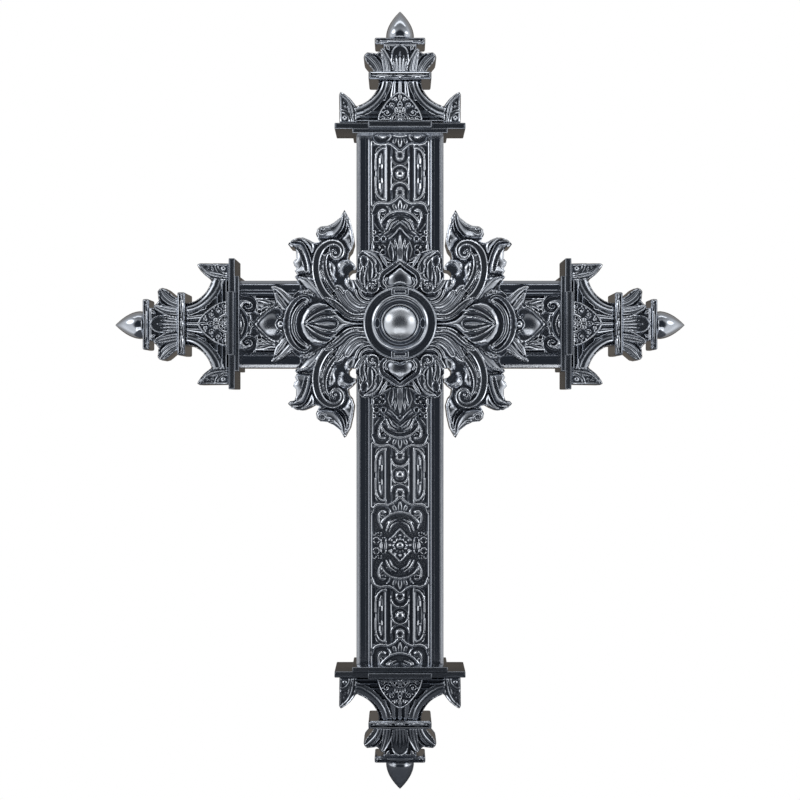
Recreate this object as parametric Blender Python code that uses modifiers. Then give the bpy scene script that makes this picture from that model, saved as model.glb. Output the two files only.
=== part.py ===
"""Ornamental processional cross head, as an assembly of separate cast and sheet-metal pieces.

Blender 4.5, metres, +Z up the upright, +X to the right as seen from the front, -Y out of the front face.
The origin is the crossing's centre on the flat rear face. A "height" below is a distance in front of
that rear face, so a point of height h has y = -h. A terminal is built pointing up, with z measured
outwards from the arm's end, and its empty carries it to the arm.
"""

import math

import bmesh
import bpy
from mathutils import Matrix, Vector

MM = 0.001
FACE_FRONT = Matrix.Rotation(math.radians(90), 4, "X")  # carries +Z to -Y, out of the front face
FACE_BACK = Matrix.Rotation(math.radians(-90), 4, "X")

# Driving dimensions of the whole cross, in metres.
TOP_ARM = 142 * MM  # crossing centre to the foot of the top terminal
BOTTOM_ARM = 256 * MM
SIDE_ARM = 120 * MM
ARM_HALF = 32.7 * MM  # half of the arm's width
GAP = 0.3 * MM  # between two pieces that touch

# Heights in front of the rear face.
BACK_PLATE_TOP = 3.0 * MM
RAIL_TOP = 27.0 * MM
FIELD_FLOOR = 22.3 * MM
HOLLOW_CEILING = 20.6 * MM
PANEL_TOP = 26.0 * MM
ROD_HEIGHT = 16.0 * MM  # axis of the tie rods and buds

# Arm casing section.
WALL = 2.4 * MM
EDGE_CHAMFER = 1.8 * MM
RAIL_RIDGE = 30.2 * MM  # outer ridge of a rail, from the arm's centre line
RAIL_GROOVE = 24.6 * MM
RAIL_INNER = 22.2 * MM
FIELD_HALF = 21.7 * MM

# Timber core.
CORE_HALF = 8.0 * MM
CORE_BOTTOM = 3.6 * MM

# Tie rods, screws and their holes.
ROD_RADIUS = 2.5 * MM
ROD_IN_CORE = 18.0 * MM
ROD_LENGTH = 102.0 * MM
SCREW_HEAD_RADIUS = 4.0 * MM
SCREW_SHANK_RADIUS = 1.8 * MM
SCREW_DEPTH = 12.0 * MM
SCREW_FROM_END = 16.0 * MM

# Crossing rosette and boss.
ROSETTE_TOP = 33.0 * MM
BOSS_RADIUS = 27.3 * MM
BOSS_INNER = 20.0 * MM
BOSS_TOP = 40.5 * MM
BEZEL_RADIUS = 13.9 * MM
BEZEL_INNER = 12.9 * MM
BEZEL_TOP = 41.0 * MM
DOME_RADIUS = 12.6 * MM
DOME_TOP = 44.5 * MM
BOLT_RADIUS = 3.0 * MM
BOLT_HEAD_RADIUS = 5.5 * MM
BOLT_HEAD_TOP = 37.0 * MM

# Corner sprays.
SPRAY_BACK = 8.0 * MM
SPRAY_TOP = 27.0 * MM

# Terminal, z outwards from the arm's end.
STEP_HALF = 35.6 * MM
STEP_TOP = 3.7 * MM
PLATE_HALF = 48.9 * MM
PLATE_TOP = 8.2 * MM
BLOCK_HALF = 23.7 * MM
BLOCK_FRONT = 38.0 * MM
BELL_TOP = 40.4 * MM
BELL_BACK = 4.0 * MM
BELL_FRONT = 31.0 * MM
NECK_HALF = 16.2 * MM
FLARE_WIDTH = 23.8 * MM
FLARE_DROP = 20.0 * MM
COLLAR_TOP = 46.4 * MM
COLLAR_HALF = 23.6 * MM
CUP_TOP = 68.6 * MM
CAP_TOP = 73.8 * MM
CAP_HALF = 19.1 * MM
BUD_RADIUS = 10.6 * MM
BUD_TOP = 96.5 * MM

MATERIALS = {
    "polished_silver": ((0.55, 0.57, 0.60, 1.0), 0.16, 1.0),
    "oxidised_silver": ((0.20, 0.22, 0.25, 1.0), 0.30, 1.0),
    "mirror_dome": ((0.72, 0.74, 0.77, 1.0), 0.06, 1.0),
    "satin_back": ((0.34, 0.33, 0.31, 1.0), 0.38, 1.0),
    "core_timber": ((0.36, 0.23, 0.12, 1.0), 0.70, 0.0),
    "tie_steel": ((0.50, 0.50, 0.52, 1.0), 0.35, 1.0),
}


def clear_scene():
    for obj in list(bpy.data.objects):
        bpy.data.objects.remove(obj)


def make_collection(name):
    made = bpy.data.collections.new(name)
    bpy.context.scene.collection.children.link(made)
    return made


def make_materials():
    for name, (colour, roughness, metallic) in MATERIALS.items():
        material = bpy.data.materials.new(name)
        material.use_nodes = True
        shader = material.node_tree.nodes["Principled BSDF"]
        shader.inputs["Base Color"].default_value = colour
        shader.inputs["Roughness"].default_value = roughness
        shader.inputs["Metallic"].default_value = metallic


def new_object(name, data, collection, material=None, parent=None):
    obj = bpy.data.objects.new(name, data)
    collection.objects.link(obj)
    obj.parent = parent
    if material and not data.materials:
        data.materials.append(bpy.data.materials[material])
    return obj


def finish_mesh(obj):
    """Bakes an object's modifiers into its mesh, welds loose caps and drops the modifiers."""
    bpy.context.view_layer.update()
    graph = bpy.context.evaluated_depsgraph_get()
    data = bpy.data.meshes.new_from_object(obj.evaluated_get(graph))
    bm = bmesh.new()
    bm.from_mesh(data)
    bmesh.ops.remove_doubles(bm, verts=bm.verts, dist=1e-6)
    bm.to_mesh(data)
    bm.free()
    data.shade_smooth()
    data.set_sharp_from_angle(angle=math.radians(35))
    return data


def soften_faces(data, bevel, both):
    """Bevels the arris round the front face of a plate, and round the back face too if asked."""
    bm = bmesh.new()
    bm.from_mesh(data)
    bmesh.ops.dissolve_limit(bm, angle_limit=math.radians(1), verts=bm.verts, edges=bm.edges)
    bmesh.ops.recalc_face_normals(bm, faces=bm.faces)
    faces = [face for face in bm.faces if face.normal.z > 0.9 or (both and face.normal.z < -0.9)]
    flat = set(faces)
    arris = {
        edge
        for face in faces
        for edge in face.edges
        if sum(1 for neighbour in edge.link_faces if neighbour in flat) == 1
    }
    bmesh.ops.bevel(
        bm,
        geom=sorted(arris, key=lambda edge: edge.index),
        offset=bevel,
        segments=1,
        profile=0.5,
        affect="EDGES",
    )
    bm.to_mesh(data)
    bm.free()


def flat_plate(name, outline, back, front, bevel=0.0, both=False):
    """A mesh of a flat outline in X and Z (mm), between two heights, with softened faces."""
    curve = bpy.data.curves.new(name, "CURVE")
    curve.dimensions = "2D"
    curve.fill_mode = "BOTH"
    curve.extrude = (front - back) / 2
    spline = curve.splines.new("POLY")
    spline.points.add(len(outline) - 1)
    for point, (x, z) in zip(spline.points, outline):
        point.co = (x * MM, z * MM, 0, 1)
    spline.use_cyclic_u = True
    obj = new_object(name, curve, bpy.context.scene.collection)
    data = finish_mesh(obj)
    bpy.data.objects.remove(obj)
    if bevel:
        soften_faces(data, bevel, both)
        data.shade_smooth()
        data.set_sharp_from_angle(angle=math.radians(35))
    data.transform(FACE_FRONT)
    data.transform(Matrix.Translation((0, -(back + front) / 2, 0)))
    return data


def box_mesh(name, low, high, bevel=0.0, segments=1):
    """A block between two corners, (x, height, z) each, with softened edges."""
    bm = bmesh.new()
    bmesh.ops.create_cube(bm, size=1)
    size = Vector((high[0] - low[0], high[1] - low[1], high[2] - low[2]))
    middle = Vector(((high[0] + low[0]) / 2, -(high[1] + low[1]) / 2, (high[2] + low[2]) / 2))
    bmesh.ops.scale(bm, vec=size, verts=bm.verts)
    bmesh.ops.translate(bm, vec=middle, verts=bm.verts)
    if bevel:
        bmesh.ops.bevel(
            bm, geom=bm.edges, offset=bevel, segments=segments, profile=0.5, affect="EDGES"
        )
    data = bpy.data.meshes.new(name)
    bm.to_mesh(data)
    bm.free()
    data.shade_smooth()
    data.set_sharp_from_angle(angle=math.radians(35))
    return data


def rod_mesh(name, radius, start, end, sides=16):
    """A plain round bar between two points given in world axes."""
    bm = bmesh.new()
    axis = Vector(end) - Vector(start)
    turn = axis.to_track_quat("Z", "Y").to_matrix().to_4x4()
    bmesh.ops.create_cone(
        bm,
        cap_ends=True,
        segments=sides,
        radius1=radius,
        radius2=radius,
        depth=axis.length,
        matrix=Matrix.Translation((Vector(start) + Vector(end)) / 2) @ turn,
    )
    data = bpy.data.meshes.new(name)
    bm.to_mesh(data)
    bm.free()
    data.shade_smooth()
    data.set_sharp_from_angle(angle=math.radians(35))
    return data


def turned_mesh(name, profile, steps, axis_matrix):
    """A turned shape: (radius, height) pairs run down the outer side, swept round their own Z."""
    bm = bmesh.new()
    points = [bm.verts.new((radius, 0, height)) for radius, height in profile]
    for first, second in zip(points, points[1:]):
        bm.edges.new((first, second))
    data = bpy.data.meshes.new(name)
    bm.to_mesh(data)
    bm.free()
    obj = new_object(name, data, bpy.context.scene.collection)
    screw = obj.modifiers.new("turn", "SCREW")
    screw.steps = steps
    screw.render_steps = steps
    screw.use_merge_vertices = True
    screw.merge_threshold = 1e-5
    turned = finish_mesh(obj)
    bpy.data.objects.remove(obj)
    turned.transform(axis_matrix)
    return turned


def combine(data, others, operation, cutters):
    """The mesh after a union with, or a cut by, each of the other meshes."""
    base = new_object(data.name, data, cutters)
    tools = []
    for number, other in enumerate(others):
        tool = new_object(f"{data.name}_tool_{number}", other, cutters)
        tool.display_type = "WIRE"
        modifier = base.modifiers.new(f"join_{number}", "BOOLEAN")
        modifier.operation = operation
        modifier.solver = "EXACT"
        modifier.object = tool
        tools.append(tool)
    made = finish_mesh(base)
    for helper in [base, *tools]:
        bpy.data.objects.remove(helper)
    return made


def mirrored(half):
    """A closed outline from its right half, which runs from the bottom centre round to the top."""
    left = [(-x, z) for x, z in reversed(half) if x > 0]
    return half + left


def place(name, data, collection, material, parent=None):
    data.name = name
    return new_object(name, data, collection, material, parent)


# --- arms -------------------------------------------------------------------------------------------


def casing_mesh(name, length):
    """A channel with moulded rails, open at the back, from z = 0 to its length."""
    half_section = [
        (0, FIELD_FLOOR),
        (FIELD_HALF, FIELD_FLOOR),
        (RAIL_INNER, RAIL_TOP - 0.7 * MM),
        (RAIL_INNER + 0.8 * MM, RAIL_TOP - 0.7 * MM),
        (RAIL_GROOVE, RAIL_TOP - 2.0 * MM),
        (RAIL_RIDGE, RAIL_TOP - 0.3 * MM),
        (ARM_HALF - EDGE_CHAMFER, RAIL_TOP),
        (ARM_HALF, RAIL_TOP - EDGE_CHAMFER),
        (ARM_HALF, BACK_PLATE_TOP + GAP),
        (ARM_HALF - WALL, BACK_PLATE_TOP + GAP),
        (ARM_HALF - WALL, HOLLOW_CEILING),
        (0, HOLLOW_CEILING),
    ]
    right = half_section[1:-1]
    left = [(-x, h) for x, h in reversed(right)]
    section = right + left
    curve = bpy.data.curves.new(name, "CURVE")
    curve.dimensions = "2D"
    curve.fill_mode = "BOTH"
    curve.extrude = length / 2
    spline = curve.splines.new("POLY")
    spline.points.add(len(section) - 1)
    for point, (x, h) in zip(spline.points, section):
        point.co = (x, -h, 0, 1)
    spline.use_cyclic_u = True
    obj = new_object(name, curve, bpy.context.scene.collection)
    data = finish_mesh(obj)
    bpy.data.objects.remove(obj)
    data.transform(Matrix.Translation((0, 0, length / 2)))
    return data


def arm_turn(direction):
    """Turns a thing built pointing up so that it points along the named arm."""
    angle = {"top": 0, "right": 90, "bottom": 180, "left": -90}[direction]
    return Matrix.Rotation(math.radians(angle), 4, "Y")


ARMS = {"top": TOP_ARM, "right": SIDE_ARM, "bottom": BOTTOM_ARM, "left": SIDE_ARM}


def build_arms(collection):
    inner = ARM_HALF + GAP
    for direction, reach in ARMS.items():
        casing = casing_mesh(f"casing_{direction}", reach - GAP - inner)
        casing.transform(arm_turn(direction) @ Matrix.Translation((0, 0, inner)))
        place(f"casing_{direction}", casing, collection, "polished_silver")
        panel = box_mesh(
            f"panel_{direction}",
            (-FIELD_HALF + GAP, FIELD_FLOOR + GAP, inner),
            (FIELD_HALF - GAP, PANEL_TOP, reach - GAP),
            bevel=0.8 * MM,
        )
        panel.transform(arm_turn(direction))
        place(f"panel_{direction}", panel, collection, "oxidised_silver")


def build_crossing_box(collection, cutters):
    """The open-backed square casing where the arms meet, slotted for the core and drilled for the bolt."""
    outer = box_mesh(
        "crossing_box",
        (-ARM_HALF, BACK_PLATE_TOP + GAP, -ARM_HALF),
        (ARM_HALF, RAIL_TOP, ARM_HALF),
    )
    inside = ARM_HALF - WALL
    hollow = box_mesh("hollow", (-inside, 0, -inside), (inside, HOLLOW_CEILING, inside))
    slot_top = HOLLOW_CEILING + 0.1 * MM
    slot = CORE_HALF + 0.6 * MM
    past = ARM_HALF * 1.2
    tall_slot = box_mesh("tall_slot", (-slot, 0, -past), (slot, slot_top, past))
    wide_slot = box_mesh("wide_slot", (-past, 0, -slot), (past, slot_top, slot))
    hole = rod_mesh("hole", BOLT_RADIUS + GAP, (0, 0, 0), (0, -RAIL_TOP * 1.2, 0))
    made = combine(outer, [hollow, tall_slot, wide_slot, hole], "DIFFERENCE", cutters)
    place("crossing_box", made, collection, "polished_silver")


# --- timber core and back plates --------------------------------------------------------------------

SCREWS = {
    "top": (0, TOP_ARM - SCREW_FROM_END),
    "bottom": (0, -BOTTOM_ARM + SCREW_FROM_END),
    "left": (-SIDE_ARM + SCREW_FROM_END, 0),
    "right": (SIDE_ARM - SCREW_FROM_END, 0),
}


def rod_bore(direction, reach):
    """The cutter for a tie rod's hole in the end of the core."""
    bore = rod_mesh(
        f"bore_{direction}",
        ROD_RADIUS + GAP,
        (0, -ROD_HEIGHT, reach - ROD_IN_CORE - 1.0 * MM),
        (0, -ROD_HEIGHT, reach + 1.0 * MM),
        sides=12,
    )
    bore.transform(arm_turn(direction))
    return bore


def screw_hole(direction):
    x, z = SCREWS[direction]
    end = SCREW_DEPTH + 0.5 * MM
    return rod_mesh("screw_hole", SCREW_SHANK_RADIUS + GAP, (x, 1 * MM, z), (x, -end, z), sides=12)


def build_core(collection, cutters):
    """Two oak bars with a cross-lap joint: the upright is notched at the front, the crossbar behind."""
    core_top = HOLLOW_CEILING - GAP
    lap = (CORE_BOTTOM + core_top) / 2
    notch = CORE_HALF + GAP
    past = core_top + 5 * MM
    bolt_hole = rod_mesh("bolt_hole", BOLT_RADIUS + GAP, (0, -CORE_BOTTOM - 2 * MM, 0), (0, -past, 0))
    upright = box_mesh(
        "core_upright",
        (-CORE_HALF, CORE_BOTTOM, -BOTTOM_ARM + GAP),
        (CORE_HALF, core_top, TOP_ARM - GAP),
    )
    front_notch = box_mesh("front_notch", (-past, lap - GAP / 2, -notch), (past, past, notch))
    cuts = [front_notch, bolt_hole, rod_bore("top", TOP_ARM), rod_bore("bottom", BOTTOM_ARM)]
    cuts += [screw_hole("top"), screw_hole("bottom")]
    upright = combine(upright, cuts, "DIFFERENCE", cutters)
    place("core_upright", upright, collection, "core_timber")
    crossbar = box_mesh(
        "core_crossbar",
        (-SIDE_ARM + GAP, CORE_BOTTOM, -CORE_HALF),
        (SIDE_ARM - GAP, core_top, CORE_HALF),
    )
    back_notch = box_mesh("back_notch", (-notch, 0, -past), (notch, lap + GAP / 2, past))
    cuts = [back_notch, bolt_hole.copy(), rod_bore("left", SIDE_ARM), rod_bore("right", SIDE_ARM)]
    cuts += [screw_hole("left"), screw_hole("right")]
    crossbar = combine(crossbar, cuts, "DIFFERENCE", cutters)
    place("core_crossbar", crossbar, collection, "core_timber")


def back_plate(name, low, high, screws, cutters):
    """A flat rear cover with a counterbored hole for each screw."""
    plate = box_mesh(name, (low[0], 0, low[1]), (high[0], BACK_PLATE_TOP, high[1]))
    cuts = []
    for direction in screws:
        x, z = SCREWS[direction]
        cuts.append(screw_hole(direction))
        seat = 2.2 * MM
        cuts.append(
            rod_mesh("seat", SCREW_HEAD_RADIUS + GAP, (x, 1 * MM, z), (x, -seat, z), sides=16)
        )
    return combine(plate, cuts, "DIFFERENCE", cutters)


def build_back(collection, cutters):
    half = ARM_HALF
    upright = back_plate(
        "back_plate_upright",
        (-half, -BOTTOM_ARM + GAP),
        (half, TOP_ARM - GAP),
        ["top", "bottom"],
        cutters,
    )
    place("back_plate_upright", upright, collection, "satin_back")
    right = back_plate(
        "back_plate_right", (half + GAP, -half), (SIDE_ARM - GAP, half), ["right"], cutters
    )
    place("back_plate_right", right, collection, "satin_back")
    left = back_plate(
        "back_plate_left", (-SIDE_ARM + GAP, -half), (-half - GAP, half), ["left"], cutters
    )
    place("back_plate_left", left, collection, "satin_back")
    head_top = 1.9 * MM
    head_bottom = 0.3 * MM
    profile = [
        (0, -head_bottom),
        (SCREW_HEAD_RADIUS, -head_bottom),
        (SCREW_HEAD_RADIUS, -head_top),
        (SCREW_SHANK_RADIUS, -head_top),
        (SCREW_SHANK_RADIUS, -SCREW_DEPTH),
        (0, -SCREW_DEPTH),
    ]
    for direction, (x, z) in SCREWS.items():
        seat = Matrix.Translation((x, 0, z)) @ FACE_BACK
        screw = turned_mesh(f"back_screw_{direction}", profile, 16, seat)
        place(f"back_screw_{direction}", screw, collection, "tie_steel")


# --- crossing ornament ------------------------------------------------------------------------------

# One quarter of the foliate plate over the crossing, in mm, from the top centre out to the side centre.
ROSETTE_QUARTER = [
    (0, 47.2),
    (9.9, 46.6),
    (16.7, 51.7),
    (22.4, 54.0),
    (29.2, 53.4),
    (30.9, 48.9),
    (30.9, 38.5),
    (32.6, 36.5),
    (33.2, 33.4),
    (75.6, 32.5),
    (75.3, 27.3),
    (72.6, 22.0),
    (79.2, 20.5),
    (84.0, 14.5),
    (86.6, 7.0),
    (87.0, 0),
]

# A corner spray's outline in the upper right angle, in mm: up the beam side, over the leaf tips, back.
SPRAY_OUTLINE = [
    (33.0, 33.0),
    (36.6, 33.0),
    (38.5, 35.4),
    (38.2, 38.0),
    (36.2, 39.9),
    (33.3, 40.6),
    (33.0, 43.4),
    (35.6, 46.2),
    (38.9, 48.9),
    (38.3, 52.9),
    (36.0, 55.7),
    (34.3, 61.4),
    (35.5, 69.4),
    (37.7, 77.3),
    (41.2, 83.2),
    (44.6, 78.5),
    (49.7, 75.0),
    (54.2, 72.8),
    (59.4, 72.2),
    (62.2, 69.9),
    (63.1, 66.5),
    (61.6, 63.1),
    (60.2, 60.4),
    (63.9, 59.7),
    (67.9, 61.2),
    (72.4, 62.5),
    (77.0, 62.0),
    (81.0, 60.8),
    (83.2, 58.4),
    (81.6, 56.6),
    (78.7, 56.3),
    (77.2, 53.4),
    (76.7, 48.9),
    (78.3, 45.5),
    (79.6, 43.4),
    (78.5, 40.9),
    (77.3, 38.7),
    (77.0, 35.8),
    (75.6, 33.1),
]


def ring_mesh(name, outer, inner, back, front, steps):
    """A plain ring round the crossing's centre, with its front arris softened."""
    ease = 1.0 * MM
    profile = [
        (inner, front),
        (outer - ease, front),
        (outer, front - ease),
        (outer, back),
        (inner, back),
        (inner, front),
    ]
    return turned_mesh(name, profile, steps, FACE_FRONT)


def build_crossing(collection, cutters):
    quarter = ROSETTE_QUARTER
    right = quarter + [(x, -z) for x, z in reversed(quarter[:-1])]
    left = [(-x, z) for x, z in reversed(right[1:-1])]
    rosette = flat_plate("rosette_plate", right + left, RAIL_TOP + GAP, ROSETTE_TOP, bevel=0.9 * MM)
    hole = rod_mesh("hole", BOLT_RADIUS + GAP, (0, 0, 0), (0, -ROSETTE_TOP * 1.2, 0))
    rosette = combine(rosette, [hole], "DIFFERENCE", cutters)
    place("rosette_plate", rosette, collection, "polished_silver")

    ring = ring_mesh("boss_ring", BOSS_RADIUS, BOSS_INNER, ROSETTE_TOP + GAP, BOSS_TOP, 32)
    place("boss_ring", ring, collection, "polished_silver")
    seat_radius = BOSS_INNER - GAP
    seat_back = ROSETTE_TOP + GAP
    seat_front = seat_back + 1.4 * MM
    dish_profile = [
        (BEZEL_INNER, BEZEL_TOP),
        (BEZEL_RADIUS, BEZEL_TOP),
        (BEZEL_RADIUS, seat_front),
        (seat_radius, seat_front),
        (seat_radius, seat_back),
        (BOLT_HEAD_RADIUS + GAP, seat_back),
        (BOLT_HEAD_RADIUS + GAP, seat_front),
        (BEZEL_INNER, seat_front),
        (BEZEL_INNER, BEZEL_TOP),
    ]
    bezel = turned_mesh("bezel_cup", dish_profile, 32, FACE_FRONT)
    place("bezel_cup", bezel, collection, "polished_silver")
    dome_back = BOLT_HEAD_TOP + GAP
    rim = 40.0 * MM
    arc = 5
    dome = [(0, DOME_TOP)]
    for step in range(1, arc + 1):
        angle = math.pi / 2 * step / arc
        dome.append((DOME_RADIUS * math.sin(angle), rim + (DOME_TOP - rim) * math.cos(angle)))
    dome += [(DOME_RADIUS, dome_back), (0, dome_back)]
    cabochon = turned_mesh("cabochon", dome, 32, FACE_FRONT)
    place("cabochon", cabochon, collection, "mirror_dome")
    bolt_end = CORE_BOTTOM + 3 * MM
    head_under = ROSETTE_TOP + GAP
    bolt = [
        (0, BOLT_HEAD_TOP),
        (BOLT_HEAD_RADIUS, BOLT_HEAD_TOP),
        (BOLT_HEAD_RADIUS, head_under),
        (BOLT_RADIUS, head_under),
        (BOLT_RADIUS, bolt_end),
        (0, bolt_end),
    ]
    rosette_bolt = turned_mesh("rosette_bolt", bolt, 16, FACE_FRONT)
    place("rosette_bolt", rosette_bolt, collection, "tie_steel")


def build_sprays(collection):
    for side, across in (("right", 1), ("left", -1)):
        for level, up in (("upper", 1), ("lower", -1)):
            outline = [(across * x, up * z) for x, z in SPRAY_OUTLINE]
            if across * up < 0:
                outline.reverse()
            name = f"spray_{level}_{side}"
            spray = flat_plate(name, outline, SPRAY_BACK, SPRAY_TOP, bevel=0.7 * MM)
            place(name, spray, collection, "polished_silver")


# --- terminals --------------------------------------------------------------------------------------


def terminal_bore(start, end):
    """The cutter for the tie rod's hole through a terminal piece."""
    return rod_mesh(
        "bore", ROD_RADIUS + GAP, (0, -ROD_HEIGHT, start), (0, -ROD_HEIGHT, end), sides=12
    )


def base_plate_mesh(cutters):
    """Two stepped plates with a block in front of their middle, cast in one."""
    step = box_mesh(
        "base_plate", (-STEP_HALF, 0.6 * MM, 0), (STEP_HALF, 33.5 * MM, STEP_TOP), 0.9 * MM
    )
    plate = box_mesh(
        "plate",
        (-PLATE_HALF, 1.0 * MM, STEP_TOP - 0.5 * MM),
        (PLATE_HALF, 32.0 * MM, PLATE_TOP),
        1.2 * MM,
    )
    block = box_mesh(
        "block",
        (-BLOCK_HALF, 28.0 * MM, STEP_TOP - 0.3 * MM),
        (BLOCK_HALF, BLOCK_FRONT, PLATE_TOP - 0.1 * MM),
        0.7 * MM,
    )
    joined = combine(step, [plate, block], "UNION", cutters)
    return combine(joined, [terminal_bore(-5 * MM, 15 * MM)], "DIFFERENCE", cutters)


def bell_mesh(cutters):
    """The flared neck with a horn standing at each side of its foot."""
    foot = (PLATE_TOP + GAP) / MM
    neck, width, drop, top = (x / MM for x in (NECK_HALF, FLARE_WIDTH, FLARE_DROP, BELL_TOP))
    horn = [
        (45.3, foot),
        (45.7, 30.4),
        (44.6, 32.0),
        (42.6, 31.3),
        (39.6, 29.4),
        (36.4, 26.1),
        (33.8, 22.8),
    ]
    flare = []
    steps = 8
    for step in range(steps + 1):
        t = top - (top - 21.6) * (1 - step / steps)
        flare.append((neck + width * (1 - math.sqrt(1 - ((top - t) / drop) ** 2)), t))
    data = flat_plate("bell", mirrored(horn + flare), BELL_BACK, BELL_FRONT, 1.2 * MM, both=True)
    return combine(data, [terminal_bore(0, BELL_TOP + 5 * MM)], "DIFFERENCE", cutters)


def palmette_mesh():
    """The pointed shell plate applied to the front of the bell."""
    foot = (PLATE_TOP + GAP) / MM
    half = [
        (16.8, foot),
        (16.4, 12.0),
        (14.8, 16.4),
        (12.0, 21.0),
        (8.4, 25.4),
        (4.2, 29.1),
        (0, 31.4),
    ]
    back = BELL_FRONT + GAP
    return flat_plate("palmette", mirrored(half), back, back + 4.2 * MM, 1.0 * MM)


def leaf_cup_mesh(cutters):
    """A cup of leaves whose outer pair curls away, under a short neck."""
    half = [
        (18.6, (COLLAR_TOP + GAP) / MM),
        (20.9, 48.7),
        (24.2, 52.6),
        (26.7, 55.6),
        (27.3, 58.4),
        (26.4, 60.8),
        (24.4, 61.9),
        (20.6, 61.5),
        (18.2, 61.3),
        (15.8, 63.2),
        (14.2, 64.6),
        (12.6, 65.0),
        (12.0, (CUP_TOP) / MM),
    ]
    data = flat_plate("leaf_cup", mirrored(half), 4.5 * MM, 30.0 * MM, 1.4 * MM, both=True)
    bore = terminal_bore(COLLAR_TOP - 5 * MM, CUP_TOP + 5 * MM)
    return combine(data, [bore], "DIFFERENCE", cutters)


def collar_mesh(name, half, back, front, low, high, cutters):
    data = box_mesh(name, (-half, back, low), (half, front, high), 1.3 * MM, segments=2)
    return combine(data, [terminal_bore(low - 5 * MM, high + 5 * MM)], "DIFFERENCE", cutters)


def bud_mesh(cutters):
    """A pointed bud turned to an ogive, drilled to screw onto the tie rod."""
    foot = CAP_TOP + GAP
    base = foot + 1.2 * MM
    steps = 9
    profile = [(0, BUD_TOP)]
    for step in range(1, steps + 1):
        down = step / steps
        profile.append((BUD_RADIUS * math.sin(math.pi / 2 * down**0.85), BUD_TOP - (BUD_TOP - base) * down))
    profile += [(BUD_RADIUS - 1.1 * MM, foot), (0, foot)]
    data = turned_mesh("bud", profile, 24, Matrix.Translation((0, -ROD_HEIGHT, 0)))
    bore_end = ROD_LENGTH - ROD_IN_CORE + 1 * MM
    return combine(data, [terminal_bore(foot - 5 * MM, bore_end)], "DIFFERENCE", cutters)


def build_terminals(collection, cutters):
    rod_end = ROD_LENGTH - ROD_IN_CORE
    pieces = {
        "base_plate": (base_plate_mesh(cutters), "polished_silver"),
        "bell": (bell_mesh(cutters), "polished_silver"),
        "palmette": (palmette_mesh(), "oxidised_silver"),
        "lower_collar": (
            collar_mesh(
                "lower_collar",
                COLLAR_HALF,
                1.0 * MM,
                33.5 * MM,
                BELL_TOP + GAP,
                COLLAR_TOP,
                cutters,
            ),
            "polished_silver",
        ),
        "leaf_cup": (leaf_cup_mesh(cutters), "polished_silver"),
        "upper_collar": (
            collar_mesh(
                "upper_collar",
                CAP_HALF,
                5.0 * MM,
                27.0 * MM,
                CUP_TOP + GAP,
                CAP_TOP,
                cutters,
            ),
            "polished_silver",
        ),
        "finial_bud": (bud_mesh(cutters), "polished_silver"),
        "tie_rod": (
            rod_mesh(
                "tie_rod",
                ROD_RADIUS,
                (0, -ROD_HEIGHT, -ROD_IN_CORE),
                (0, -ROD_HEIGHT, rod_end),
                sides=12,
            ),
            "tie_steel",
        ),
    }
    for direction, reach in ARMS.items():
        seat = bpy.data.objects.new(f"seat_{direction}", None)
        collection.objects.link(seat)
        seat.matrix_world = arm_turn(direction) @ Matrix.Translation((0, 0, reach))
        for name, (data, material) in pieces.items():
            new_object(f"{name}_{direction}", data, collection, material, parent=seat)


def main():
    clear_scene()
    make_materials()
    collection = make_collection("processional_cross")
    cutters = make_collection("cutters")
    build_core(collection, cutters)
    build_back(collection, cutters)
    build_arms(collection)
    build_crossing_box(collection, cutters)
    build_crossing(collection, cutters)
    build_sprays(collection)
    build_terminals(collection, cutters)


main()
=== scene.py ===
"""Ornamental processional cross head: polished, darkened silver over a timber core.

Metres, +Z up the upright, -Y out of the ornamented front. Heights are millimetres in front of the rear
face. A piece of an arm is modelled pointing up and then turned to its arm.
"""

import math
from functools import partial

import bmesh
import bpy
import numpy as np
from mathutils import Matrix, Vector


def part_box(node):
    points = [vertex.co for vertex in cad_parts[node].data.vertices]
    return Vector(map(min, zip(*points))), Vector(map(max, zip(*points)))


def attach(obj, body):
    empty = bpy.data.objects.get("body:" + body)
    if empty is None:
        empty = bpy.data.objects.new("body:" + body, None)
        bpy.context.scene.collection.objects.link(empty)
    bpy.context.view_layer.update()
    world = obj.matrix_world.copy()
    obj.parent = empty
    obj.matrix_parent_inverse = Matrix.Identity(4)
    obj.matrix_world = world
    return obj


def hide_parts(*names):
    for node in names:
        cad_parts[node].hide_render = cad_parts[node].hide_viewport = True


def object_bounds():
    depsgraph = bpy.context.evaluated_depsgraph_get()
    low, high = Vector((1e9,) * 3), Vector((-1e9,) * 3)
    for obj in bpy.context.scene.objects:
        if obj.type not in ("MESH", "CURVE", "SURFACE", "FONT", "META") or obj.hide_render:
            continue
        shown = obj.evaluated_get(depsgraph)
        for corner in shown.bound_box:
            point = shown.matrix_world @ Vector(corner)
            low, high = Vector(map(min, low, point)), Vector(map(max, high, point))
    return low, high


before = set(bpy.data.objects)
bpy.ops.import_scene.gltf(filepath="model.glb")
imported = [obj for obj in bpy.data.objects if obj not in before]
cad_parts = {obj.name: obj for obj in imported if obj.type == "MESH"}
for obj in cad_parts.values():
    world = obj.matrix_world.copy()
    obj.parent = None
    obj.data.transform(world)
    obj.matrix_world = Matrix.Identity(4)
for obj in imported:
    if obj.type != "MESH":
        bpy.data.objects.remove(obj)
cad_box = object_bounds()

# --- The timber core ------------------------------------------------------------------------------
# Two planed oak bars, lapped at the crossing and hidden inside the metal. The solids already have the
# right shape, so they only take an oak finish.

MM = 0.001


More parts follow.
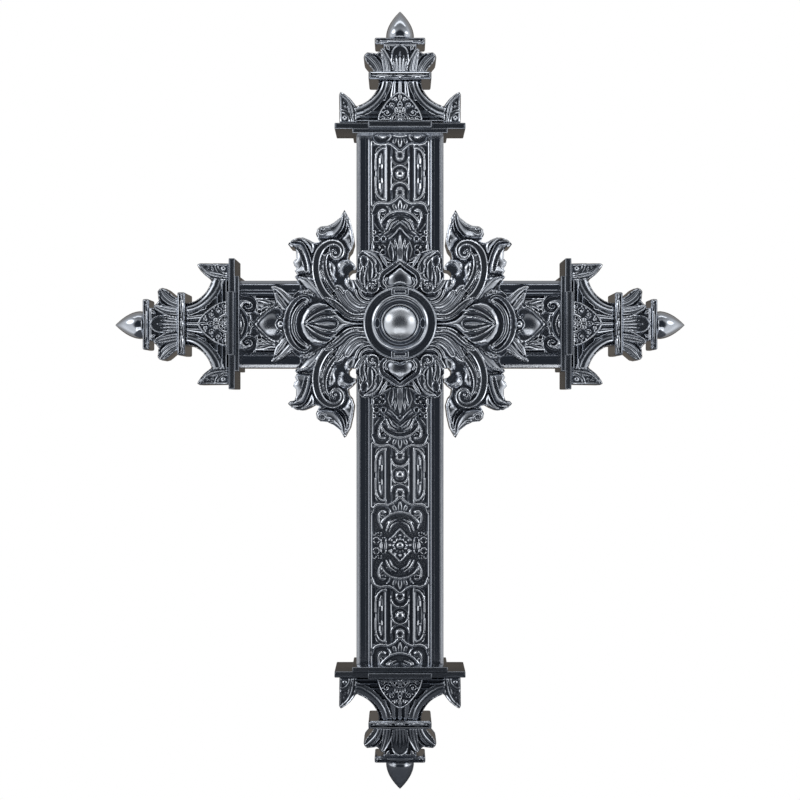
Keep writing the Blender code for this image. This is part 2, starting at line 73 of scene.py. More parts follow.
def node_material(name, base, roughness, metallic):
    """A material whose plain values sit on the shader, with handles for the nodes that vary."""
    material = bpy.data.materials.new(name)
    material.use_nodes = True
    shader = material.node_tree.nodes["Principled BSDF"]
    shader.inputs["Base Color"].default_value = (*base, 1.0)
    shader.inputs["Roughness"].default_value = roughness
    shader.inputs["Metallic"].default_value = metallic
    return material, shader


def add_node(tree, kind, settings=None, values=None):
    """Places a shader node, sets its properties, and fills or links its inputs."""
    node = tree.nodes.new(kind)
    for key, value in (settings or {}).items():
        setattr(node, key, value)
    for key, value in (values or {}).items():
        if isinstance(value, bpy.types.NodeSocket):
            tree.links.new(value, node.inputs[key])
        else:
            node.inputs[key].default_value = value
    return node


def blended(tree, factor, first, second, mode="MIX"):
    """The colour between two colours or sockets, or one laid on the other in another mode."""
    values = {"Factor": factor, "A": first, "B": second}
    settings = {"data_type": "RGBA", "blend_type": mode}
    return add_node(tree, "ShaderNodeMix", settings, values).outputs["Result"]


def stretched(tree, place, scale, rotation=(0, 0, 0)):
    """Turned and stretched coordinates, for a pattern drawn out along one axis."""
    values = {"Vector": place, "Scale": scale, "Rotation": rotation}
    return add_node(tree, "ShaderNodeMapping", values=values).outputs[0]


def noise(tree, place, scale, detail, roughness=0.5):
    """A noise pattern on the given coordinates."""
    values = {"Vector": place, "Scale": scale, "Detail": detail, "Roughness": roughness}
    return add_node(tree, "ShaderNodeTexNoise", values=values).outputs["Fac"]


def rescaled(tree, value, low, high):
    """A value from 0 to 1 moved to between low and high."""
    values = {"Value": value, "To Min": low, "To Max": high}
    return add_node(tree, "ShaderNodeMapRange", values=values).outputs["Result"]


def bumped(tree, height, strength):
    """The normal of a surface raised by up to a fifth of a millimetre."""
    values = {"Height": height, "Strength": strength, "Distance": 0.2 * MM}
    return add_node(tree, "ShaderNodeBump", values=values).outputs["Normal"]


def grain_material(name, light, dark, stretch):
    """Wood or turned steel: noise drawn out along one axis colours it and roughens it."""
    material, shader = node_material(name, light, 0.5, 0.0)
    tree = material.node_tree
    place = add_node(tree, "ShaderNodeTexCoord").outputs["Object"]
    grain = noise(tree, stretched(tree, place, stretch), 1.0, 6.0, 0.6)
    tree.links.new(blended(tree, grain, (*dark, 1.0), (*light, 1.0)), shader.inputs["Base Color"])
    tree.links.new(rescaled(tree, grain, 0.25, 0.62), shader.inputs["Roughness"])
    tree.links.new(bumped(tree, grain, 0.4), shader.inputs["Normal"])
    return material, shader


def finish_node(node, material):
    """Gives a CAD solid its finished material."""
    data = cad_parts[node].data
    data.materials.clear()
    data.materials.append(material)


oak, _ = grain_material("planed_oak", (0.40, 0.26, 0.14), (0.20, 0.12, 0.06), (900, 900, 30))
finish_node("core_upright", oak)
cross_oak, _ = grain_material("crossbar_oak", (0.38, 0.25, 0.13), (0.19, 0.11, 0.06), (30, 900, 900))
finish_node("core_crossbar", cross_oak)

# --- Tie rods and the crossing bolt ---------------------------------------------------------------
# Turned steel rods that draw each terminal's stack onto the core, and the bolt under the dome. Only
# the tool marks round them are drawn, and they too keep the CAD shape.

ARMS = {"top": 0, "right": 90, "bottom": 180, "left": -90}

turned_steel, turned_shader = grain_material(
    "turned_steel", (0.52, 0.52, 0.53), (0.34, 0.34, 0.35), (500, 500, 4000)
)
turned_shader.inputs["Metallic"].default_value = 1.0
for arm in ARMS:
    finish_node(f"tie_rod_{arm}", turned_steel)
finish_node("rosette_bolt", turned_steel)

# --- Rear plates and screws -----------------------------------------------------------------------
# Flat rolled sheets that close the casings behind, held to the core by screws whose heads sit in
# counterbored holes. Both keep the CAD shape and take a satin, slightly smeared finish.


def math_node(tree, operation, *inputs):
    """The result of a math node on the given values or sockets."""
    node = add_node(tree, "ShaderNodeMath", {"operation": operation}, dict(enumerate(inputs)))
    return node.outputs[0]


def patina_group():
    """Silver patina: from a piece's relief attribute, dark oxide low down and rubbed metal high up."""
    group = bpy.data.node_groups.new("silver_patina", "ShaderNodeTree")
    face = group.interface
    for name, value in (("Wear", 0.5), ("Smear", 0.35), ("Unevenness", 0.15)):
        socket = face.new_socket(name, in_out="INPUT", socket_type="NodeSocketFloat")
        socket.default_value = value
    for name in ("Dark", "Bright"):
        face.new_socket(name, in_out="INPUT", socket_type="NodeSocketColor")
    for name, kind in (("Colour", "Color"), ("Rough", "Float"), ("Normal", "Vector")):
        face.new_socket(name, in_out="OUTPUT", socket_type=f"NodeSocket{kind}")
    given = add_node(group, "NodeGroupInput")
    result = add_node(group, "NodeGroupOutput")
    place = add_node(group, "ShaderNodeTexCoord").outputs["Object"]
    relief = add_node(group, "ShaderNodeAttribute", {"attribute_name": "relief"})
    cloud = noise(group, place, 70.0, 5.0)
    speck = noise(group, place, 900.0, 3.0)
    scratch = noise(group, stretched(group, place, (5000, 4000, 160), (0.2, 0.7, 0.4)), 1.0, 2.0)
    cloud_swing = math_node(group, "SUBTRACT", cloud, 0.5)
    speck_swing = math_node(group, "SUBTRACT", speck, 0.5)
    patches = math_node(group, "MULTIPLY_ADD", cloud_swing, given.outputs["Smear"], given.outputs["Wear"])
    patches = math_node(group, "MULTIPLY_ADD", speck_swing, 0.10, patches)
    worn = math_node(group, "ADD", relief.outputs["Fac"], patches)
    mask = add_node(group, "ShaderNodeClamp", values={"Value": worn})
    colour = blended(group, mask.outputs[0], given.outputs["Dark"], given.outputs["Bright"])
    group.links.new(colour, result.inputs["Colour"])
    rough = rescaled(group, mask.outputs[0], 0.30, 0.09)
    rough = math_node(group, "MULTIPLY_ADD", scratch, 0.08, rough)
    group.links.new(rough, result.inputs["Rough"])
    waves = math_node(group, "MULTIPLY_ADD", cloud, 3.0, speck)
    waves = math_node(group, "MULTIPLY_ADD", scratch, 0.06, waves)
    group.links.new(bumped(group, waves, given.outputs["Unevenness"]), result.inputs["Normal"])
    return group


patina = patina_group()


def silver_material(name, bright, dark, wear, smear, uneven):
    """A silver finish of its own colours from the shared patina."""
    material, shader = node_material(name, bright, 0.15, 1.0)
    tree = material.node_tree
    values = {"Wear": wear, "Smear": smear, "Unevenness": uneven}
    values.update({"Dark": (*dark, 1.0), "Bright": (*bright, 1.0)})
    group = add_node(tree, "ShaderNodeGroup", {"node_tree": patina}, values)
    for made, socket in (("Colour", "Base Color"), ("Rough", "Roughness"), ("Normal", "Normal")):
        tree.links.new(group.outputs[made], shader.inputs[socket])
    return material


satin_back = silver_material("satin_back", (0.42, 0.42, 0.43), (0.16, 0.16, 0.17), 0.55, 0.5, 0.2)
for plate in ("upright", "right", "left"):
    finish_node(f"back_plate_{plate}", satin_back)
screw_steel = silver_material("screw_steel", (0.55, 0.55, 0.55), (0.2, 0.2, 0.2), 0.6, 0.3, 0.1)
for arm in ARMS:
    finish_node(f"back_screw_{arm}", screw_steel)

# --- Arm casings and the crossing box -------------------------------------------------------------
# Drawn silver channels with moulded rails: from outside in, a bright bevelled edge, a wide flat sunk
# below it, a groove, and the bead that frames the field. They butt against the crossing box.

ARM_REACH = {}  # how far each casing runs out from the crossing, in mm


def turn_to(arm):
    """Carries a thing modelled on the upper arm round to another arm."""
    return Matrix.Rotation(math.radians(ARMS[arm]), 4, "Y")


def relief_mask(data, scale, passes=14):
    """Writes how far each point stands above (+) or lies below (-) its smoothed surroundings."""
    count = len(data.vertices)
    place = np.empty(count * 3)
    data.vertices.foreach_get("co", place)
    place = place.reshape(-1, 3)
    normal = np.empty(count * 3)
    data.vertices.foreach_get("normal", normal)
    normal = normal.reshape(-1, 3)
    ends = np.empty(len(data.edges) * 2, int)
    data.edges.foreach_get("vertices", ends)
    first, second = ends[0::2], ends[1::2]
    share = np.maximum(np.bincount(ends, minlength=count), 1)
    smooth = place.copy()
    for _ in range(passes):
        total = np.empty_like(smooth)
        for axis in range(3):
            total[:, axis] = np.bincount(
                np.concatenate([first, second]),
                np.concatenate([smooth[second, axis], smooth[first, axis]]),
                count,
            )
        smooth = 0.5 * smooth + 0.5 * total / share[:, None]
    stand = ((place - smooth) * normal).sum(1) / scale
    attribute = data.attributes.new("relief", "FLOAT", "POINT")
    attribute.data.foreach_set("value", np.clip(stand, -1, 1).astype(np.float32))


def finished_piece(name, bm, material, replaced, mask_scale=0.25 * MM, sharp=40):
    """Makes the finished object of a bmesh, shaded, masked and tied to the frame."""
    data = bpy.data.meshes.new(name)
    bm.to_mesh(data)
    bm.free()
    data.shade_smooth()
    data.set_sharp_from_angle(angle=math.radians(sharp))
    if mask_scale:
        relief_mask(data, mask_scale)
    piece = bpy.data.objects.new(name, data)
    bpy.context.scene.collection.objects.link(piece)
    data.materials.append(material)
    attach(piece, "root")
    if replaced:
        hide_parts(*replaced)


def round_corner(start, corner, end, steps=4):
    """Points of a quarter curve from start to end that bends about a corner."""
    t = np.linspace(0, 1, steps + 1)[:, None]
    path = (1 - t) ** 2 * np.array(start) + 2 * t * (1 - t) * np.array(corner) + t**2 * np.array(end)
    return path.tolist()


RAIL_SECTION = (
    [(21.9, 22.2), (22.0, 23.4), (22.9, 23.5)]
    + round_corner((23.1, 24.2), (23.4, 25.1), (23.8, 24.3))
    + [(24.0, 24.0), (25.7, 24.0), (25.9, 24.7), (29.7, 24.75)]
    + [(29.95, 26.6), (30.1, 26.85), (30.4, 26.9), (32.4, 26.25), (32.7, 25.9)]
    + [(32.7, 3.3), (30.3, 3.3), (30.3, 20.6)]
)


def extruded_section(bm, section, low, high, turn):
    """Sweeps a closed section (across, height) straight along the arm between two places."""
    points = [bm.verts.new((x * MM, -h * MM, low)) for x, h in section]
    face = bm.faces.new(points)
    swept = bmesh.ops.extrude_face_region(bm, geom=[face])
    moved = [item for item in swept["geom"] if isinstance(item, bmesh.types.BMVert)]
    bmesh.ops.translate(bm, verts=moved, vec=(0, 0, high - low))
    bmesh.ops.transform(bm, matrix=turn, verts=points + moved)


dark_silver = silver_material("dark_silver", (0.60, 0.62, 0.66), (0.12, 0.13, 0.15), 0.42, 0.25, 0.10)
for arm in ARMS:
    lowest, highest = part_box(f"casing_{arm}")
    corners = [turn_to(arm).inverted() @ corner for corner in (lowest, highest)]
    low, high = sorted(corner.z for corner in corners)
    ARM_REACH[arm] = high / MM
    bm = bmesh.new()
    section = RAIL_SECTION + [(-x, h) for x, h in reversed(RAIL_SECTION)]
    extruded_section(bm, section, low - 0.3 * MM, high, turn_to(arm))
    bmesh.ops.recalc_face_normals(bm, faces=bm.faces)
    name = f"railed_channel_{arm}"
    finished_piece(name, bm, dark_silver, [f"casing_{arm}"], 0.5 * MM, 25)
finish_node("crossing_box", dark_silver)

# --- Arm panels -----------------------------------------------------------------------------------
# Sheets of cast relief let into the arms' fields, chased from the front and oxidised in the hollows.
# The upright repeats one cartouche and one bead strip; the side arms carry a heart and two volutes.


def bend(points, closed=False, steps=6):
    """A smooth path through the given points, with some steps between each two."""
    pts = np.array(points, float)
    if closed:
        pts = np.vstack([pts[-1], pts, pts[0], pts[1]])
    else:
        pts = np.vstack([2 * pts[0] - pts[1], pts, 2 * pts[-1] - pts[-2]])
    t = np.linspace(0, 1, steps, endpoint=False)[:, None]
    made = []
    for a, b, c, d in zip(pts, pts[1:], pts[2:], pts[3:]):
        made.append(
            0.5 * (2 * b + (c - a) * t + (2 * a - 5 * b + 4 * c - d) * t**2)
            + 0.5 * (3 * b - a - 3 * c + d) * t**3
        )
    made.append(pts[-2][None])
    return np.vstack(made)


def curl(centre, radius, start, sweep, last_radius, steps=26):
    """A spiral path round a centre, from a start angle through a sweep, in degrees."""
    angle = np.radians(np.linspace(start, start + sweep, steps))
    reach = radius + (last_radius - radius) * np.linspace(0, 1, steps) ** 0.8
    return np.stack([centre[0] + reach * np.cos(angle), centre[1] + reach * np.sin(angle)], 1)


def ramp(low, high, value):
    """0 below low, 1 above high, and smooth between."""
    t = np.clip((value - low) / (high - low), 0, 1)
    return t * t * (3 - 2 * t)


class Chasing:
    """A sheet being chased: places x, z on it in mm, and the height h that each has been given.

    Heights count from the sheet's top level, so the ground and the grooves are below 0.
    """

    def __init__(self, x, z, ground):
        self.x, self.z = x, z
        self.h = np.full(x.shape, float(ground))

    def near(self, path, reach):
        """The places within reach of a path, with their distance, place along it, and side."""
        path = np.asarray(path, float)
        low, high = path.min(0) - reach, path.max(0) + reach
        inside = (self.x > low[0]) & (self.x < high[0]) & (self.z > low[1]) & (self.z < high[1])
        at = np.nonzero(inside)[0]
        x, z = self.x[at], self.z[at]
        best = np.full(x.shape, 1e9)
        along = np.zeros(x.shape)
        side = np.zeros(x.shape)
        run = 0.0
        for (ax, az), (bx, bz) in zip(path, path[1:]):
            dx, dz = bx - ax, bz - az
            length = math.hypot(dx, dz)
            if length < 1e-9:
                continue
            t = np.clip(((x - ax) * dx + (z - az) * dz) / length**2, 0, 1)
            ox, oz = x - ax - t * dx, z - az - t * dz
            d = ox * ox + oz * oz
            closer = d < best
            best = np.where(closer, d, best)
            along = np.where(closer, run + t * length, along)
            side = np.where(closer, np.sign(dx * oz - dz * ox), side)
            run += length
        return at, np.sqrt(best), along / max(run, 1e-9), side

    def stamp(self, at, value, core):
        """Sets the height where core is true, and elsewhere only ever raises it."""
        self.h[at] = np.where(core, value, np.maximum(self.h[at], value))

    @staticmethod
    def width(half, along):
        """The half width at each place, from one value or from values spread along the path."""
        if np.isscalar(half):
            return np.full(along.shape, float(half))
        return np.interp(along, np.linspace(0, 1, len(half)), half)

    def wire(self, path, half, top, fall=None):
        """A low rounded ridge."""
        at, d, along, _ = self.near(path, np.max(half))
        w = np.maximum(self.width(half, along), 1e-6)
        fall = 0.42 * w if fall is None else fall
        used = d < w
        self.stamp(at[used], (top - fall * (d / w) ** 2)[used], False)

    def band(self, path, half, top, hollow, rim):
        """A strap with a sunk flat between two chamfered rims; rim is the rims' width."""
        at, d, along, _ = self.near(path, np.max(half))
        w = self.width(half, along)
        slope = np.minimum(0.5, 0.35 * w)
        crest = w - slope
        inner = np.minimum(0.85 * rim, 0.6 * crest) + 1e-6
        sunk = np.clip((crest - d) / inner, 0, 1)
        value = top - np.minimum(hollow, 0.9 * inner) * sunk
        value = value - 0.5 * np.clip((d - crest) / slope, 0, 1)
        used = d < w
        self.stamp(at[used], value[used], (d < w - 0.3 * slope)[used])

    def groove(self, path, half, floor):
        """A round-bottomed channel cut down to a floor."""
        at, d, along, _ = self.near(path, np.max(half))
        u = d / np.maximum(self.width(half, along), 1e-6)
        used = u < 1
        level = self.h[at]
        cut = floor + (level - floor) * ramp(0.55, 1.0, u)
        self.h[at[used]] = np.minimum(level, cut)[used]

    def leaf(self, spine, half, top, crown, vein=0.5, ribs=1, rib_depth=0.0, slant=0.0):
        """A leaf along a spine: two swelling halves, slanting ribs if any, and a sunk vein between."""
        at, d, along, _ = self.near(spine, np.max(half))
        w = np.maximum(self.width(half, along), 1e-6)
        q = np.clip(d / w, 0, 1)
        wave = 0.5 + 0.5 * np.cos(2 * math.pi * (ribs * along - slant * q))
        value = top - np.minimum(0.36 * w, crown) * q**2 - 0.25 * crown * q**8
        value = value - rib_depth * wave * ramp(0.0, 0.35, q) * (1 - ramp(0.8, 1.0, q) * 0.5)
        value = value - vein * (1 - ramp(0.0, 0.22, q))
        used = d < w
        self.stamp(at[used], value[used], (q < 0.93)[used])

    def flutes(self, path, half, top, count, depth, crown):
        """A strap worked into several flutes that run along it."""
        at, d, along, side = self.near(path, np.max(half))
        w = np.maximum(self.width(half, along), 1e-6)
        across = np.clip(side * d / w, -1, 1)
        wave = np.abs(np.sin(0.5 * math.pi * count * (across + 1)))
        value = top - depth * (1 - wave) - crown * across**2
        used = d < w
        self.stamp(at[used], value[used], (d < w * 0.96)[used])

    def bead(self, centre, radius, top, squash=1.0):
        """A domed pearl."""
        r2 = ((self.x - centre[0]) / radius) ** 2 + ((self.z - centre[1]) / (radius * squash)) ** 2
        at = np.nonzero(r2 < 1)[0]
        value = top - 0.75 * radius * (1 - np.sqrt(1 - r2[at]))
        self.stamp(at, value, True)

    def wires(self, *strokes):
        """Wires on smooth paths, each given as its points and what else a wire takes."""
        for points, *sizes in strokes:
            self.wire(bend(points), *sizes)

    def ring(self, centre, radius, half, top):
        """A wire bent into a ring."""
        self.wire(curl(centre, radius, 0, 360, radius, 18), half, top)

    def well(self, centre, radius, floor):
        """A round sinking."""
        r2 = ((self.x - centre[0]) / radius) ** 2 + ((self.z - centre[1]) / radius) ** 2
        at = np.nonzero(r2 < 1)[0]
        level = self.h[at]
        cut = floor + (level - floor) * ramp(0.6, 1.0, np.sqrt(r2[at]))
        self.h[at] = np.minimum(level, cut)

    def pad(self, outline, top, edge, crown, dish=0.0, rim=0.0):
        """A filled shape: a cushion with a rounded edge, or a dish with a rim round it."""
        depth = inside_depth(outline, self.x, self.z)
        at = np.nonzero(depth > 0)[0]
        e = depth[at]
        value = top - crown * (1 - np.sqrt(np.clip(1 - (1 - np.clip(e / edge, 0, 1)) ** 2, 0, 1)))
        if dish:
            value = value - dish * ramp(rim * 0.5, rim, e)
        self.stamp(at, value, True)

    def bow(self, outline, crown_z, spread, most, squash=1.0):
        """Lets a filled shape fall away from its middle, as a domed piece does."""
        drop = (squash * self.x**2 + (self.z - crown_z) ** 2) / spread
        self.h -= np.clip(drop, 0, most) * (inside_depth(outline, self.x, self.z) > 0)


def mirrored(half, flip=(-1, 1)):
    """A closed outline from its right half, or from its upper half when flip is (1, -1)."""
    side = flip.index(-1)
    return half + [(flip[0] * x, flip[1] * z) for x, z in reversed(half) if (x, z)[side]]


def inside_depth(outline, x, z):
    """Signed distance in mm from a closed outline, positive inside."""
    path = np.asarray(outline, float)
    best = np.full(x.shape, 1e9)
    crossings = np.zeros(x.shape, bool)
    for (ax, az), (bx, bz) in zip(path, np.roll(path, -1, 0)):
        dx, dz = bx - ax, bz - az
        size = max(dx * dx + dz * dz, 1e-12)
        t = np.clip(((x - ax) * dx + (z - az) * dz) / size, 0, 1)
        best = np.minimum(best, (x - ax - t * dx) ** 2 + (z - az - t * dz) ** 2)
        if az != bz:
            spans = (az > z) != (bz > z)
            crossings ^= spans & (x < ax + (z - az) * dx / dz)
    return np.where(crossings, 1, -1) * np.sqrt(best)


def chased_sheet(box, step, relief, top, back, depth_of=None, both_sides=False):
    """A bmesh of a chased sheet over box (x low, x high, z low, z high in mm).

    relief(x, z) gives heights from its top level, its walls run down to back, and depth_of(x, z) is how
    far a place lies inside its outline. A two-sided sheet is mirrored about its back level.
    """
    x0, x1, z0, z1 = box
    across, along = max(int((x1 - x0) / step), 2), max(int((z1 - z0) / step), 2)
    bm = bmesh.new()
    bmesh.ops.create_grid(bm, x_segments=across, y_segments=along, size=0.5)
    bmesh.ops.scale(bm, vec=(x1 - x0, z1 - z0, 1), verts=bm.verts)
    bmesh.ops.translate(bm, vec=((x0 + x1) / 2, (z0 + z1) / 2, 0), verts=bm.verts)
    place = np.array([vert.co for vert in bm.verts])
    x, z = place[:, 0].copy(), place[:, 1].copy()
    if depth_of:
        depth = depth_of(x, z)
        for vert, value in zip(bm.verts, depth):
            vert.tag = bool(value < -0.62 * step)
        gone = [face for face in bm.faces if any(vert.tag for vert in face.verts)]
        bmesh.ops.delete(bm, geom=gone, context="FACES")
        loose = [vert for vert in bm.verts if not vert.link_faces]
        bmesh.ops.delete(bm, geom=loose, context="VERTS")
        bm.verts.ensure_lookup_table()
        place = np.array([vert.co for vert in bm.verts])
        x, z = place[:, 0].copy(), place[:, 1].copy()
        rim = np.array([vert.is_boundary for vert in bm.verts])
        for _ in range(3):
            bx, bz = x[rim], z[rim]
            value = depth_of(bx, bz)
            tiny = 0.02
            gx = (depth_of(bx + tiny, bz) - value) / tiny
            gz = (depth_of(bx, bz + tiny) - value) / tiny
            size = np.maximum(gx * gx + gz * gz, 0.25)
            x[rim] = bx - np.clip(value * gx / size, -step, step)
            z[rim] = bz - np.clip(value * gz / size, -step, step)
    height = top + relief(x, z)
    for vert, px, pz, ph in zip(bm.verts, x, z, height):
        vert.co = (px * MM, -ph * MM, pz * MM)
    bmesh.ops.smooth_vert(bm, verts=bm.verts, factor=0.35, use_axis_y=True)
    rim_edges = [edge for edge in bm.edges if edge.is_boundary]
    walls = bmesh.ops.extrude_edge_only(bm, edges=rim_edges)["geom"]
    foot = [item for item in walls if isinstance(item, bmesh.types.BMVert)]
    for vert in foot:
        vert.co.y = -back * MM
    if both_sides:
        # Mirror about the back height: move it to y = 0, mirror, and move it back.
        bmesh.ops.translate(bm, vec=(0, back * MM, 0), verts=bm.verts)
        whole = bm.verts[:] + bm.edges[:] + bm.faces[:]
        bmesh.ops.mirror(bm, geom=whole, axis="Y", merge_dist=1e-6)
        bmesh.ops.translate(bm, vec=(0, -back * MM, 0), verts=bm.verts)
    else:
        edges = [edge for edge in bm.edges if edge.is_boundary]
        bmesh.ops.triangle_fill(bm, edges=edges, use_beauty=False, use_dissolve=False)
    bmesh.ops.remove_doubles(bm, verts=bm.verts, dist=2e-6)
    bmesh.ops.recalc_face_normals(bm, faces=bm.faces)
    return bm


PANEL_TOP = 26.0
PANEL_HALF = 21.8
PANEL_EDGE = 21.4
PANEL_STEP = 0.4
HALF_REPEAT = 52.95  # from a cartouche's centre to a bead's, up the arm
BEAD_AT = 113.2  # the first bead's centre, up the arm
FAN_END = BEAD_AT - HALF_REPEAT + 22.0


def crown_and_volute(work):
    """The crown leaf under its gable line, and the volute beside it."""
    volute = bend([
        (12.8, 10.2), (16.4, 14.6), (18.6, 19.4), (18.6, 24.0), (16.2, 27.4), (12.4, 28.2), (9.6, 25.9),
        (9.6, 22.6), (11.8, 20.8), (13.8, 21.8),
    ])
    work.pad(curl((13.0, 22.6), 7.0, 0, 345, 7.0, 24), -0.2, 0.8, 0.4)
    work.groove(volute, [1.3, 1.7, 2.0, 2.2, 2.2, 2.1, 1.7, 1.3, 1.0, 0.7], -2.4)
    work.wire(bend([(13.4, 13.0), (15.8, 18.0), (16.1, 21.6), (14.8, 24.8), (12.2, 25.2)]), 0.7, 0.3)
    crown = [(0, 35.4), (4.6, 31.0), (8.0, 28.6), (5.0, 25.6), (0, 26.8)]
    work.pad(mirrored(crown), -1.4, 1.0, 0.5)
    work.leaf([(0, 26.6), (0, 33.8)], [1.4, 1.8, 1.0, 0.3], -0.5, 1.0)
    work.leaf([(3.6, 26.6), (5.0, 30.4)], [1.2, 1.5, 0.4], -0.6, 1.0)
    gable = [(21.2, 24.4), (19.2, 29.2), (15.4, 31.0), (11.5, 30.8), (8.4, 30.6), (5.0, 32.2)]
    work.wire(bend(gable + [(2.4, 34.4), (0, 36.4)]), 1.0, 0.6)


def chevrons(work):
    """The eyebrow arc with its bright edge, the lenses on it, and the dark and bright chevrons."""
    work.groove(curl((0, 9.2), 13.8, 90, -60, 13.8, 24), 1.5, -2.4)
    work.wire(curl((0, 9.2), 15.8, 90, -58, 15.8, 24), 0.9, 0.5)
    for foot, tip, size in (((10.4, 11.0), (3.4, 19.4), 1.0), ((8.0, 10.4), (1.6, 17.6), 0.8)):
        middle = ((foot[0] + tip[0]) / 2 + 1.0, (foot[1] + tip[1]) / 2 + 1.2)
        work.wire(bend([foot, middle, tip]), [size * 0.6, size, size, size * 0.5], 0.3)
    work.groove([(0, 15.4), (5.2, 10.4), (11.2, 6.6)], 1.4, -2.4)
    work.wire([(0, 12.4), (4.0, 8.0), (8.2, 4.0)], 0.7, 0.5)
    for centre, size in (((12.4, 4.0), 1.5), ((17.8, 4.0), 1.8), ((15.2, 8.6), 0.9), ((19.4, 8.8), 0.8)):
        work.well(centre, size, -2.6)
        work.ring(centre, size + 0.4, 0.5, 0.1)


def cartouche_heart(work):
    """The middle of a cartouche: a gem and its pearls between the chevrons."""
    for reach, size in ((7.6, 1.1), (5.0, 0.9)):
        for turn in (0, 30, 60, 90):
            angle = math.radians(turn)
            work.bead((reach * math.cos(angle), reach * math.sin(angle)), size, -0.1)
    chevrons(work)
    work.wire(curl((0, 0), 4.3, 0, 100, 4.3, 14), 0.45, 0.2)
    work.bead((0, 0), 3.2, 0.8, 0.9)
    work.leaf([(10.8, 2.4), (10.8, 0)], [0.8, 1.0, 1.1], -0.1, 0.8)
    work.leaf([(14.2, 2.2), (14.2, 0)], [0.8, 1.2, 1.3], -0.1, 0.8)


def bead_strip(work):
    """The strip between two cartouches: bead, arches, grooves and leaf slots."""
    near_bead = [(6.9, 44.2), (6.9, 62), (-6.9, 62), (-6.9, 44.2), (0, 45.2)]
    work.pad(near_bead, 0.0, 0.9, 0.5)
    work.groove(curl((0, HALF_REPEAT), 4.7, 180, 360, 4.7, 40), 1.3, -3.2)
    work.wire(curl((0, HALF_REPEAT), 6.3, 180, 360, 6.3, 40), 0.7, 0.3)
    work.bead((0, HALF_REPEAT), 3.5, 0.6)
    work.groove(np.vstack([[(4.9, 33.4)], curl((0, 39.7), 4.9, 0, 90, 4.9, 12)]), 1.5, -2.8)
    work.wire(curl((0, 39.7), 6.8, -8, 98, 6.8, 16), [0.5, 0.8, 0.9, 0.9], 0.4)
    work.wire(curl((0, 38.9), 2.7, -60, 150, 2.7, 16), 0.7, 0.4)
    work.well((0, 38.8), 1.8, -2.4)
    work.groove([(8.6, 32.2), (8.6, 60)], 1.5, -3.2)
    work.wire([(10.5, 32.2), (10.5, 60)], 0.7, 0.1)
    work.groove([(14.8, 36.4), (14.8, 60)], 3.5, -2.6)
    slot_leaf = [(12.4, 62), (12.0, 44), (12.6, 38.6), (14.6, 35.6), (16.6, 38.6), (17.6, 44), (17.4, 62)]
    work.pad(slot_leaf, -0.6, 3.0, 1.4)
    work.wires(
        ([(18.5, 50.0), (18.2, 42.0), (16.6, 36.6), (13.6, 34.0), (10.8, 33.6)], 0.8, 0.4),
        ([(15.2, 47.0), (15.4, 42.0), (14.2, 38.4)], 0.55, 0.1),
    )
    work.wire([(13.4, 46.0), (13.2, 53.0)], 0.5, 0.0)
    work.groove([(20.0, 32.4), (20.0, 60)], 0.95, -3.2)


def rosette_fan(work):
    """Next to the crossing the cartouche opens into a fan of ribs under its chevrons."""
    bed = [(0, 11.4), (7.4, 2.2), (9.4, -4), (7.0, -13), (-7.0, -13), (-9.4, -4), (-7.4, 2.2)]
    work.pad(bed, -1.2, 1.0, 0.4)
    for foot, tip in (((4.6, -12.4), (6.4, 1.0)), ((2.6, -12.4), (4.0, 4.2)), ((0, -12.4), (0, 8.4))):
        middle = (foot[0] * 0.8 + tip[0] * 0.1, (foot[1] + tip[1]) / 2)
        work.leaf(bend([foot, middle, tip]), [1.2, 1.2, 1.3, 0.4], -0.1, 1.0, 0.2)
    chevrons(work)
    for centre, size in (((12.9, -6.4), 1.5), ((13.1, -2.4), 1.5), ((17.6, -2.2), 1.9)):
        work.well(centre, size, -2.6)
        work.ring(centre, size + 0.3, 0.4, 0.1)
    frame_line = bend([(20.9, 30), (20.8, 10), (20.7, -2.6), (20.2, -5.2), (15.8, -7.8), (7.4, -12.4)])
    work.wire(frame_line, 0.8, 0.4)


def upright_relief(x, z):
    """An upright panel: cartouches and bead strips in turn, and the fan next to the crossing."""
    side, out = np.abs(x), np.abs(z)
    folded = np.abs(np.mod(out - BEAD_AT, 2 * HALF_REPEAT) - HALF_REPEAT)
    work = Chasing(side, folded, -1.6)
    work.pad([(-9, 44), (-9, 60), (22, 60), (22, 30), (9, 31), (0, 37), (-9, 31)], -0.4, 0.5, 0.4)
    bead_strip(work)
    crown_and_volute(work)
    cartouche_heart(work)
    border = ramp(PANEL_EDGE - 1.6, PANEL_EDGE - 0.5, side) * (folded < 30)
    work.h = np.maximum(work.h, -1.2 + 1.5 * border)
    fan = Chasing(side, out - (BEAD_AT - HALF_REPEAT), -1.6)
    crown_and_volute(fan)
    rosette_fan(fan)
    height = np.where(out < FAN_END, fan.h, work.h)
    rim = -0.4 + 0.9 * np.sqrt(np.clip(1 - ((side - PANEL_EDGE) / 0.6) ** 2, 0, 1))
    at_rim = (side > PANEL_EDGE - 0.6) & (out > 60)
    return np.where(at_rim, np.maximum(height, rim), height)


